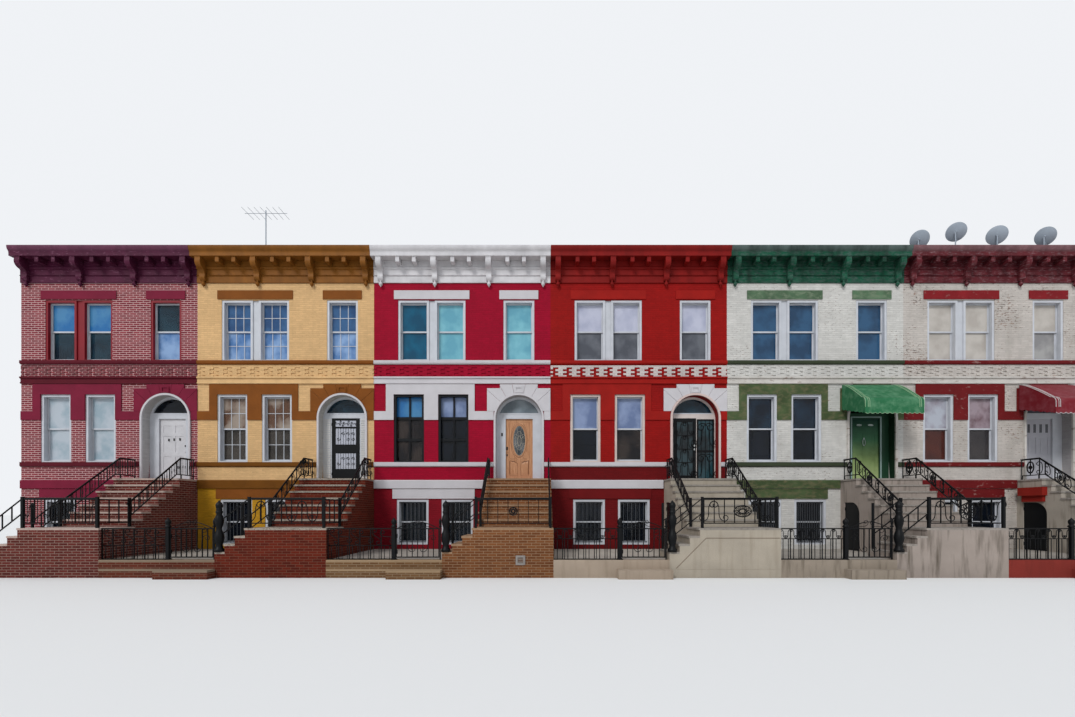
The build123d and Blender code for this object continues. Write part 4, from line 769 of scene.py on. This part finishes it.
def turned_points(points, angle):
    c = cos(angle)
    s = sin(angle)
    return [(u * c - v * s, u * s + v * c) for u, v in points]


def flipped(points, side):
    """Flat points, turned left to right where the side is -1."""
    return [(side * u, v) for u, v in points]


def on_front(y, x, z, points):
    """Place flat points on an upright plane that faces the street."""
    return [(x + u, y, z + v) for u, v in points]


def ring_points(half_width, half_height, count=28):
    return [(half_width * cos(2 * pi * k / count), half_height * sin(2 * pi * k / count)) for k in range(count)]


def add_upright(bm, x, y, bottom, top, radius, sides=4):
    add_tube(bm, [(x, y, bottom), (x, y, top)], radius, sides)


def add_scroll(bm, y, x, z, size, radius, turns=1.15, side=1, tilt=0, sides=5, mirrored=False):
    """A bar bent to a scroll that faces the street, tilted by an angle in degrees."""
    flat = turned_points(flipped(spiral(size, turns, mirrored=mirrored), side), radians(tilt))
    add_tube(bm, on_front(y, x, z, flat), radius, sides)


def add_oval(bm, y, x, z, half_width, half_height, radius, count=28, sides=6):
    """A bar bent to an oval that faces the street."""
    add_tube(bm, on_front(y, x, z, ring_points(half_width, half_height, count)), radius, sides, True)


def add_plate(bm, outline, thickness):
    """A flat plate that faces the street, from the outline of its front."""
    near = [bm.verts.new(place) for place in outline]
    far = [bm.verts.new((x, y + thickness, z)) for x, y, z in outline]
    bm.faces.new(near)
    bm.faces.new(far[::-1])
    join_rows(bm, (far, near), True)


# The first house: three small fittings in a row and a knob with its lock
fittings = [(x - 0.022, x + 0.022, -0.01, 0, z - 0.04, z + 0.04)
            for x, z in ((0.30, 1.33), (0.475, 1.34), (0.667, 1.35))]
fittings.append((0.83, 0.868, -0.012, 0, 1.10, 1.16))
show_boxes("house_1_door_fittings", dark_fitting, leaf_corners[0], fittings, "house_1_front_door")

# The second house: a storm door with bars and scrolls before white backing
left, front, foot = leaf_corners[1]
left += 0.12
barred_width = 0.674
openings = ((0.37, 0.88), (1.175, 1.70), (1.76, 1.96))
bars = bmesh.new()
for low, high in openings[:2]:
    for n in range(9):
        add_upright(bars, left + barred_width * n / 8, front, foot + low, foot + high, 0.006)
    for x in (0.17, 0.337, 0.505):
        add_scroll(bars, front - 0.004, left + x, foot + (low + high) / 2, 0.26, 0.006, sides=4, mirrored=x > 0.2)
for n in range(5):
    tilt = 70 if n % 2 else 110
    add_scroll(bars, front - 0.004, left + 0.07 + n * 0.133, foot + 1.86, 0.16, 0.007, tilt=tilt, sides=4)
show_boxes("storm_door_backing", gloss_paint("storm_door_backing", "aeb0ba", 0.5), (left, front, foot),
           [(0, barred_width, 0.005, 0.011, low, high) for low, high in openings], "house_2_front_door")
show(bars, "storm_door_bars", iron, "house_2_front_door")

# The third house: an oval leaded light in the oak door, with fielded panels under it
left, front, foot = leaf_corners[2]
oval_x = left + leaf_width / 2
oval_z = foot + 1.305
oval_width, oval_height = 0.2, 0.495
oval_glass = bmesh.new()
add_plate(oval_glass, on_front(front + 0.004, oval_x, oval_z, ring_points(oval_width, oval_height, 40)), 0.006)
show(oval_glass, "oval_light", glass_finish("leaded_glass", "6b6f72", "2e3438"), "house_3_front_door")
leading = bmesh.new()
for share in (0.97, 0.62, 0.3):
    add_oval(leading, front, oval_x, oval_z, oval_width * share, oval_height * share, 0.005, 40, 5)
for k in range(8):
    angle = pi * (k + 0.5) / 4
    ends = [(oval_width * share * cos(angle), oval_height * share * sin(angle)) for share in (0.3, 0.97)]
    add_tube(leading, on_front(front, oval_x, oval_z, ends), 0.004, 4)
for side in (1, -1):
    curl = [(side * abs(0.02 + u), v) for u, v in spiral(0.42, 0.9, mirrored=True)]
    add_tube(leading, on_front(front, oval_x, oval_z, curl), 0.004, 4)
add_oval(leading, front, oval_x, oval_z, 0.07, 0.17, 0.004, 20, 4)
show(leading, "oval_leading", gloss_paint("lead", "a9a294", 0.35), "house_3_front_door")
fields = bmesh.new()
grooves = bmesh.new()
add_oval(fields, front - 0.004, oval_x, oval_z, 0.225, 0.525, 0.014, 44)
add_oval(grooves, front + 0.006, oval_x, oval_z, 0.255, 0.56, 0.010, 44, 4)
low_panel = [(0.05, 0.15), (0.31, 0.15), (0.31, 0.66), (0.24, 0.62), (0.17, 0.63), (0.11, 0.58), (0.05, 0.56)]
low_field = [(0.18 + (u - 0.18) * 0.68, 0.37 + (v - 0.37) * 0.74) for u, v in low_panel]
hugging = [(0.05, 0.68), (0.14, 0.75), (0.24, 0.95), (0.285, 1.3), (0.24, 1.66), (0.14, 1.86), (0.04, 1.92),
           (0.33, 1.92), (0.33, 0.74), (0.24, 0.70), (0.14, 0.71)]
for side in (-1, 1):
    add_tube(grooves, on_front(front + 0.004, oval_x, foot, flipped(low_panel, side)), 0.009, 4, True)
    face, back = [[fields.verts.new(place) for place in on_front(front + y, oval_x, foot, flipped(points, side))]
                  for y, points in ((-0.004, low_field), (0.012, low_panel))]
    fields.faces.new(face[::-side])
    join_rows(fields, (face, back), True)
    add_tube(grooves, on_front(front + 0.004, oval_x, foot, flipped(hugging, side)), 0.008, 4, True)
bmesh.ops.recalc_face_normals(fields, faces=fields.faces)
show(fields, "oak_door_fields", door_paints[2], "house_3_front_door")
show(grooves, "oak_door_grooves", gloss_paint("shaded_oak", "74492e", 0.5), "house_3_front_door")
show_boxes("oak_door_latch", dark_fitting, leaf_corners[2],
           [(0.03, 0.08, -0.02, 0, 1.0, 1.1), (0.04, 0.075, -0.02, 0, 0.8, 0.86)], "house_3_front_door")
show_boxes("door_bell", dark_fitting, (lots[2], facade_y, 0), [(4.10, 4.15, 0.27, 0.30, 4.15, 4.25)])

# The fourth house: a scrolled iron leaf and a scrolled fixed panel beside it
left, front, foot = leaf_corners[3]
grille = (0.10, 0.64)
grille_rise = (0.14, 1.93)
leaf_scrolls = bmesh.new()
for row in range(4):
    for x, side in ((0.23, 1), (0.50, -1)):
        add_scroll(leaf_scrolls, front - 0.012, left + x, foot + 0.37 + row * 0.445, 0.40, 0.011, 1.25, side)
for n in range(4):
    x = left + grille[0] + n * 0.18
    add_upright(leaf_scrolls, x, front - 0.012, foot + grille_rise[0], foot + grille_rise[1], 0.009)
add_boxes(leaf_scrolls, leaf_corners[3], *[(*grille, -0.02, -0.006, z - 0.012, z + 0.012)
                                           for z in (0.14, 0.58, 1.02, 1.47, 1.93)])
show(leaf_scrolls, "iron_door_scrolls", iron, "house_4_front_door")
show_boxes("iron_door_glass", glass_finish("faint_teal_glass", "2b3d42", "131a1d"), leaf_corners[3],
           [(*grille, -0.006, 0, *grille_rise)], "house_4_front_door")
show_boxes("iron_door_handle", gloss_paint("pale_handle", "a8aaa8", 0.3), leaf_corners[3],
           [(0.665, 0.70, -0.035, 0, z, z + 0.06) for z in (0.98, 1.10)], "house_4_front_door")
left = lots[3] + doorway_center + 0.135
panel_width = 0.565
panel_height = 2.0
show_boxes("iron_side_panel", glass_finish("dark_teal_glass", "24434a", "101c20"), (left, front, foot),
           [(0, panel_width, -0.006, 0.002, 0, panel_height)])
side_scrolls = bmesh.new()
add_casing(side_scrolls, left, left + panel_width, foot, foot + panel_height, 0.045, front - 0.03, front - 0.006)
add_boxes(side_scrolls, (left, front, foot), (0, panel_width, -0.03, -0.006, 0.92, 0.98))
for x, side in ((0.17, 1), (0.40, -1)):
    for z in (0.46, 1.48):
        add_scroll(side_scrolls, front - 0.02, left + x, foot + z, 0.78, 0.010, 1.3, side)
for n in range(1, 4):
    add_upright(side_scrolls, left + panel_width * n / 4, front - 0.016, foot, foot + panel_height, 0.007)
show(side_scrolls, "iron_side_scrolls", iron)

# The fifth house: two almond lights with rays, a knocker and pale edge strips
left, front, foot = leaf_corners[4]
almonds = bmesh.new()
rays = bmesh.new()
for side in (-0.19, 0.19):
    middle = (left + leaf_width / 2 + side, foot + 1.82)
    add_plate(almonds, on_front(front + 0.004, *middle, ring_points(0.095, 0.034, 20)), 0.006)
    for k in range(5):
        angle = radians(30 + 30 * k)
        line = [(0.02 * cos(angle), -0.03), (0.08 * cos(angle), 0.03 * sin(angle))]
        add_tube(rays, on_front(front, *middle, line), 0.003, 4)
show(almonds, "almond_lights", gloss_paint("bright_glass", "b9c6c0", 0.1), "house_5_front_door")
add_oval(rays, front - 0.012, left + 0.42, foot + 1.25, 0.04, 0.11, 0.011, 18)
add_boxes(rays, leaf_corners[4], (0.40, 0.44, -0.016, 0, 1.34, 1.40))
show(rays, "knocker_and_rays", gloss_paint("pale_metal", "a9b3ae", 0.3), "house_5_front_door")
show_boxes("pale_door_strips", gloss_paint("pale_strip", "93a9a4", 0.3), (left, facade_y + 0.27, foot),
           [(-0.045, -0.005, 0, 0.012, 0, 2.06), (0.925, 0.965, 0, 0.012, 0, 2.06),
            (-0.045, 0.965, 0, 0.012, 2.06, 2.09)])

# The sixth house: four small lights with an upright bar in each, and raised fields in the panels
left, front, foot = leaf_corners[5]
stile_width = 0.12
pitch = (leaf_width - stile_width) / 4
light_edges = [stile_width + n * pitch for n in range(4)]
light_foot, light_top = 1.57, 1.85
show_boxes("small_door_lights", glass_finish("dark_light_glass", "23262c", "15171b"), leaf_corners[5],
           [(x, x + pitch - stile_width, 0.004, 0.011, light_foot, light_top) for x in light_edges],
           "house_6_front_door")
door_fields = bmesh.new()
for x in light_edges:
    middle = left + x + (pitch - stile_width) / 2
    add_upright(door_fields, middle, front, foot + light_foot, foot + light_top, 0.004)
add_boxes(door_fields, leaf_corners[5], *[(x + 0.035, x + 0.242, 0.003, 0.01, low + 0.035, high - 0.035)
                                          for low, high in ((0.2, 0.69), (0.865, 1.41)) for x in (0.12, 0.517)])
show(door_fields, "pale_door_fields", door_paints[5], "house_6_front_door")

# Fanlight bars, and white brick tiles beside the second house's door
show_boxes("transom_mouldings", white_joinery, (doorway_center, facade_y + 0.27, 4.875),
           [(lots[n] - 0.66, lots[n] + 0.66, 0, 0.01, 0, 0.03) for n in (0, 1, 2, 3, 5)])
tile_pitch = 0.075
show_boxes("white_brick_tiles", painted_stone("white_tile", "c9c7c4", "a5a3a0", blotch=0.04),
           (lots[1] + doorway_center, facade_y + 0.262, platform_height),
           [(left, right, 0, 0.018, n * tile_pitch, n * tile_pitch + 0.058)
            for left, right in ((-0.735, -0.50), (0.50, 0.735)) for n in range(27)])

# Cornices and brackets
# Pressed sheet metal over timber: a frieze with two beads, S-curved brackets with small blocks between them,
# and a crown moulding that carries the gutter. Painted in each house's trim colour.


def cornice_paint(name, paint, under, wear):
    """Painted sheet metal with chips and soot under the overhang, and the chipped colour along the crown's top,
    which on the first and sixth houses is a painted highlight.
    """
    finish = new_finish(name, 0.55)
    place = object_place(finish)
    body = blotched(finish, tone(paint), place, 2.0, 0.85, 1.15)
    loose = grain(finish, stretched(finish, place, (1, 1, 3)), 9, 7.0, 0.65)
    body = weathered(finish, body, under, loose, 0.66 - wear * 0.2, 0.7, 0.8)
    # The crown's top takes the under colour: worn paint, and a painted highlight on the first and sixth houses,
    # where that colour is paler.
    height = add(finish, "SeparateXYZ", {0: place})[2]
    body = weathered(finish, body, under, height, 9.86, 9.94, 0.75 * wear)
    soot = grain(finish, stretched(finish, place, (1.2, 1, 0.35)), 2.4, 5.0, 0.6)
    body = multiplied(finish, body, rescaled(finish, soot, 0.36, 0.62, 1 - 0.5 * wear, 1.06))
    return surfaced(finish, body, loose, 0.003)


cornice_paints = [
    cornice_paint("purple_cornice", "4b1931", "8a5a70", 0.4),
    cornice_paint("brown_cornice", "80501c", "583617", 0.3),
    cornice_paint("white_cornice", "c9c6c7", "a5a1a2", 0.1),
    cornice_paint("red_cornice", "7d1613", "5c1715", 0.3),
    cornice_paint("green_cornice", "14503a", "565f5d", 1.1),
    cornice_paint("chipped_cornice", "5c2127", "8a6e71", 0.7),
]
dress("cornices", cornice_paints)
dress("cornice_brackets", cornice_paints)

# Iron rails, fences and gates
# Square bars welded into panels and bolted to the treads and curbs, with cast newels, all under black paint.
for node in ("stair_rails", "landing_rails", "area_fences", "iron_posts"):
    dress(node, [iron])
for n in range(house_count):
    dress(f"house_{n + 1}_area_gate", [iron])

rail_lines = (3.755, 5.640)
stair_slope = 1.435 / 7 / 0.28
stair_stations = [0.08, 0.365, 0.65] + [0.825 + n * 0.295 for n in range(7)]
rail_height = 0.64
rail_gap = 0.11
rail_bar = 0.028
tread_top = 2.685


def rail_top(reach):
    return tread_top + rail_height - rail_bar - max(0.0, reach - 0.65) * stair_slope


def rail_foot(reach):
    return tread_top + rail_gap + rail_bar - max(0.0, reach - 0.825) * stair_slope


def on_side(x, reach, z, points, slope=0.0):
    """Place flat points on an upright plane that runs out from the house, sheared to the stair's slope."""
    return [(x, facade_y - reach - u, z + v - u * slope) for u, v in points]


for house in range(house_count):
    ironwork = bmesh.new()
    for line in rail_lines:
        x = lots[house] + line
        for first, last in zip(stair_stations, stair_stations[1:]):
            middle = (first + last) / 2
            slope = stair_slope if first > 0.8 else 0.0
            tall = rail_top(middle) - rail_foot(middle)
            center = (rail_top(middle) + rail_foot(middle)) / 2
            if house in (0, 2):
                for share in (1 / 3, 2 / 3):
                    reach = first + (last - first) * share
                    add_upright(ironwork, x, facade_y - reach, rail_foot(reach), rail_top(reach), 0.010)
                    if house == 0:
                        knuckle = center - (reach - middle) * slope
                        add_upright(ironwork, x, facade_y - reach, knuckle - 0.04, knuckle + 0.04, 0.014, 6)
            elif house in (1, 3) or last > 0.7 or line > 5:
                curve = flipped(spiral(tall * 0.92, 1.05, mirrored=house > 3), -1 if house in (3, 5) else 1)
                add_tube(ironwork, on_side(x, middle, center, curve, slope), 0.011, 5)
            if house == 2:
                add_tube(ironwork, on_side(x, middle, center, ring_points(0.05, 0.05, 16), slope), 0.008, 5, True)
        if house in (4, 5):
            for reach in (1.27, 2.15):
                center = (rail_top(reach) + rail_foot(reach)) / 2
                for oval, radius in ((ring_points(0.09, 0.15, 22), 0.013), (ring_points(0.04, 0.07, 14), 0.016)):
                    add_tube(ironwork, on_side(x, reach, center, oval, stair_slope), radius, 6, True)
            for u, v in ring_points(0.095, 0.16, 16):
                add_upright(ironwork, x, facade_y - 0.365 - u, 3.06 + v, 3.072 + v, 0.011, 6)
        if house in (1, 3):
            # Rosettes and curls close the rail's end beside the door
            end_y = facade_y - 0.62
            add_oval(ironwork, end_y, x, 3.20, 0.065, 0.085, 0.013, 16)
            add_oval(ironwork, end_y, x, 3.20, 0.025, 0.035, 0.016, 10)
            for side in (-1, 1):
                add_scroll(ironwork, end_y, x + side * 0.045, 2.93, 0.34, 0.009, 1.2, side)
        handrail = [(x, facade_y - reach, rail_top(reach) + 0.034) for reach in (0.05, 0.65, 2.66)]
        add_tube(ironwork, handrail, 0.019, 8)
    show(ironwork, f"house_{house + 1}_stair_ironwork", iron)

# Each wheel or oval of a landing rail: its place along the lot, its half width and height, and its petals
wheels = {2: (4.70, 0.10, 0.10, 8), 3: (4.77, 0.22, 0.14, 12), 4: (4.72, 0.20, 0.20, 12), 5: (4.72, 0.20, 0.20, 12)}
landing_y = facade_y - 3.54
landing_height = 1.25
landing_bottom = landing_height + rail_gap
landing_top = landing_height + 0.74
landing_bays = 7
for house in range(house_count):
    ironwork = bmesh.new()
    left = lots[house] + 3.785
    right = lots[house] + 5.61
    pitch = (right - left) / landing_bays
    center = (landing_bottom + landing_top) / 2
    for n in range(landing_bays):
        middle = left + (n + 0.5) * pitch
        if house == 0:
            for share in (-1 / 6, 1 / 6):
                add_upright(ironwork, middle + share * pitch, landing_y, landing_bottom, landing_top, 0.010)
            if n % 2 == 0:
                add_scroll(ironwork, landing_y, middle, center, 0.34, 0.010)
        elif house in (1, 3, 4, 5) and (house == 1 or n not in (2, 3, 4)):
            add_scroll(ironwork, landing_y, middle, center, 0.50, 0.011, 1.1, -1 if n % 2 else 1)
    if house in wheels:
        wheel_x, half_width, half_height, petals = wheels[house]
        wheel_x += lots[house]
        wheel_y = landing_y - 0.012
        add_oval(ironwork, wheel_y, wheel_x, center, half_width, half_height, 0.014)
        add_oval(ironwork, wheel_y, wheel_x, center, half_width * 0.4, half_height * 0.4, 0.016, 16)
        for k in range(petals):
            angle = 2 * pi * k / petals
            loop = turned_points(ring_points(0.24 * half_width, 0.13 * half_height, 10), angle)
            petal = [(u + 0.7 * half_width * cos(angle), v + 0.7 * half_height * sin(angle))
                     for u, v in loop]
            add_tube(ironwork, on_front(wheel_y, wheel_x, center, petal), 0.010, 5, True)
    add_tube(ironwork, [(x, landing_y, landing_top + 0.012) for x in (left, right)], 0.018, 6)
    show(ironwork, f"house_{house + 1}_landing_ironwork", iron)


def add_turned(bm, x, y, outline, sides=18):
    """A cast turned piece round an upright axis, from its radii and heights."""
    angles = [2 * pi * k / sides for k in range(sides)]
    rings = [[bm.verts.new((x + r * cos(a), y + r * sin(a), z)) for a in angles] for r, z in outline]
    join_rows(bm, rings, True)
    bm.faces.new(rings[0][::-1])
    bm.faces.new(rings[-1])


# Fences: scrolls over short pickets, with ball-topped posts, and the cast newels at the foot of each stoop
fence_post_foot = ((0.085, 0.452), (0.085, 0.472), (0.055, 0.487))
fence_post_top = ((0.045, 1.272), (0.078, 1.278), (0.078, 1.300), (0.040, 1.325), (0.060, 1.365), (0.070, 1.410),
                  (0.055, 1.455), (0.025, 1.480), (0.012, 1.510))
newel_outline = ((0.118, 0.651), (0.118, 0.715), (0.088, 0.750), (0.074, 0.820), (0.098, 0.900), (0.116, 1.000),
                 (0.100, 1.110), (0.072, 1.190), (0.068, 1.260), (0.092, 1.340), (0.106, 1.440), (0.088, 1.540),
                 (0.066, 1.600), (0.082, 1.640), (0.082, 1.670), (0.050, 1.710), (0.076, 1.770), (0.086, 1.825),
                 (0.066, 1.880), (0.030, 1.915), (0.012, 1.950))
fence_y = facade_y - 3.5
fence_foot = 0.478
fence_bays = 6
for house in range(house_count):
    ironwork = bmesh.new()
    left = lots[house] + 0.03
    right = lots[house] + 1.64
    pitch = (right - left) / fence_bays
    low_rail = 0.80 if house < 3 else 0.97
    add_boxes(ironwork, (left, fence_y, low_rail), (0, right - left, -0.008, 0.008, 0, 0.02))
    for n in range(fence_bays):
        middle = left + (n + 0.5) * pitch
        for share in (-0.25, 0.25):
            add_upright(ironwork, middle + share * pitch, fence_y, fence_foot, low_rail, 0.010)
        if house < 3:
            add_scroll(ironwork, fence_y, middle, 1.03, 0.34, 0.011, 1.1, tilt=90 if n % 2 else 60)
        else:
            for side in (-1, 1):
                add_scroll(ironwork, fence_y, middle + side * 0.06, 1.105, 0.22, 0.009, 1.2, side)
    add_turned(ironwork, lots[house] + 1.68, fence_y, fence_post_foot)
    add_turned(ironwork, lots[house] + 1.68, fence_y, fence_post_top)
    add_turned(ironwork, lots[house] + 2.85, fence_y, [(0.5 * r, z) for r, z in fence_post_top])
    add_turned(ironwork, lots[house] + 3.0, landing_y, newel_outline)
    show(ironwork, f"house_{house + 1}_fence_ironwork", iron, smooth=True)

    # The gate's arched top with a pair of scrolls, swinging with the gate
    gate = bmesh.new()
    first = lots[house] + 1.75
    last = lots[house] + 2.81
    middle = (first + last) / 2
    arch = [(first + (last - first) * k / 20, fence_y, 1.235 + 0.17 * sin(pi * k / 20)) for k in range(21)]
    add_tube(gate, arch, 0.011, 6)
    for side in (-1, 1):
        add_scroll(gate, fence_y, middle + side * 0.2, 1.29, 0.34, 0.007, 1.1, side, 90)
        add_scroll(gate, fence_y - 0.012, middle + side * 0.26, 0.86, 0.42, 0.008, 1.1, side)
    show(gate, f"house_{house + 1}_gate_ironwork", iron, f"house_{house + 1}_area_gate")

# Awnings, dishes and the aerial
# Coated canvas laced over a light tube frame, with piped edges and a scalloped valance. On the roof, painted
# pressings on short masts and an aerial of thin tubes.


def canvas_finish(name, paint, faded):
    """Coated canvas, faded in patches, with a fine weave."""
    finish = new_finish(name, 0.55)
    place = object_place(finish)
    body = blotched(finish, tone(paint), place, 1.6, 0.92, 1.06)
    body = weathered(finish, body, faded, grain(finish, place, 5.0, 5.0), 0.45, 0.7, 0.5)
    return surfaced(finish, body, grain(finish, place, 260, 1.0), 0.001)


awning_paints = {
    4: (canvas_finish("green_canvas", "2a6743", "6b9876"), gloss_paint("pale_piping", "8fb08a", 0.5)),
    5: (canvas_finish("red_canvas", "711b24", "87484f"), gloss_paint("white_piping", "c9c4c2", 0.5)),
}
# The awning's line from the wall down the slope, round the front bend and down the valance, as reach and height
wall_reach, slope_reach = 0.065, 0.975
awning_top, slope_drop = 5.75, 0.62
awning_line = [(wall_reach + slope_reach * share, awning_top - slope_drop * share ** 1.25)
               for share in (k / 10 for k in range(11))]
awning_line += [(wall_reach + slope_reach + 0.155 * sin(angle), awning_top - slope_drop - 0.165 * (1 - cos(angle)))
                for angle in (pi / 2 * k / 6 for k in range(1, 7))]
awning_line.append((1.197, 4.80))
valance_reach = 1.2
columns = 48
for house, (cloth, piping) in awning_paints.items():
    left = lots[house] + 3.69
    right = lots[house] + 5.468
    across = [left + (right - left) * c / columns for c in range(columns + 1)]
    scallop = [4.64 - 0.035 * abs(sin(pi * c * 12 / columns)) for c in range(columns + 1)]
    bm = bmesh.new()
    rows = [[bm.verts.new((x, facade_y - reach, z)) for x in across] for reach, z in awning_line]
    rows.append([bm.verts.new((x, facade_y - valance_reach, z)) for x, z in zip(across, scallop)])
    join_rows(bm, rows)
    for c in (0, columns):
        edge = [row[c] for row in rows]
        hem = []
        for k, vert in enumerate(edge):
            reach = facade_y - vert.co.y
            low = 4.98 - 0.34 * (reach / valance_reach) - 0.03 * abs(sin(pi * k * 0.5))
            hem.append(bm.verts.new((vert.co.x, vert.co.y, min(vert.co.z, low))))
        join_rows(bm, (edge[:-1], hem[:-1]))
    area = sum(face.calc_area() for face in bm.faces)
    awning = show(bm, f"house_{house + 1}_awning", cloth, smooth=True)
    awning.data.set_sharp_from_angle(angle=radians(40))
    trim = bmesh.new()
    for x in (left + 0.004, left + 0.09, left + 0.14, right - 0.14, right - 0.09, right - 0.004):
        add_tube(trim, [(x, facade_y - reach - 0.006, z + 0.004) for reach, z in awning_line], 0.008, 5)
    add_tube(trim, [(x, facade_y - valance_reach - 0.004, z) for x, z in zip(across, scallop)], 0.007, 4)
    edging = show(trim, f"house_{house + 1}_awning_piping", piping)
    poles = bmesh.new()
    for x in (left + 0.02, (left + right) / 2, right - 0.02):
        add_tube(poles, [(x, facade_y - reach + 0.014, z - 0.02) for reach, z in awning_line[:-1]], 0.011, 6)
    for reach, z in ((0.075, 5.73), (1.04, 5.10), (1.185, 4.98), (1.185, 4.70)):
        add_tube(poles, [(x, facade_y - reach + 0.014, z) for x in (left + 0.01, right - 0.01)], 0.011, 6)
    for x in (left + 0.02, right - 0.02):
        for reach, z in ((1.18, 4.66), (0.07, 5.73)):
            add_tube(poles, [(x, facade_y - 0.07, 4.99), (x, facade_y - reach, z)], 0.011, 6)
    show(poles, f"house_{house + 1}_awning_frame", gloss_paint("awning_pole", "8d9192", 0.4))
    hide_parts("awnings")

grey_metal = gloss_paint("grey_metal", "9aa3ad", 0.5)
for node in ("satellite_dishes", "roof_antenna"):
    dress(node, [grey_metal])
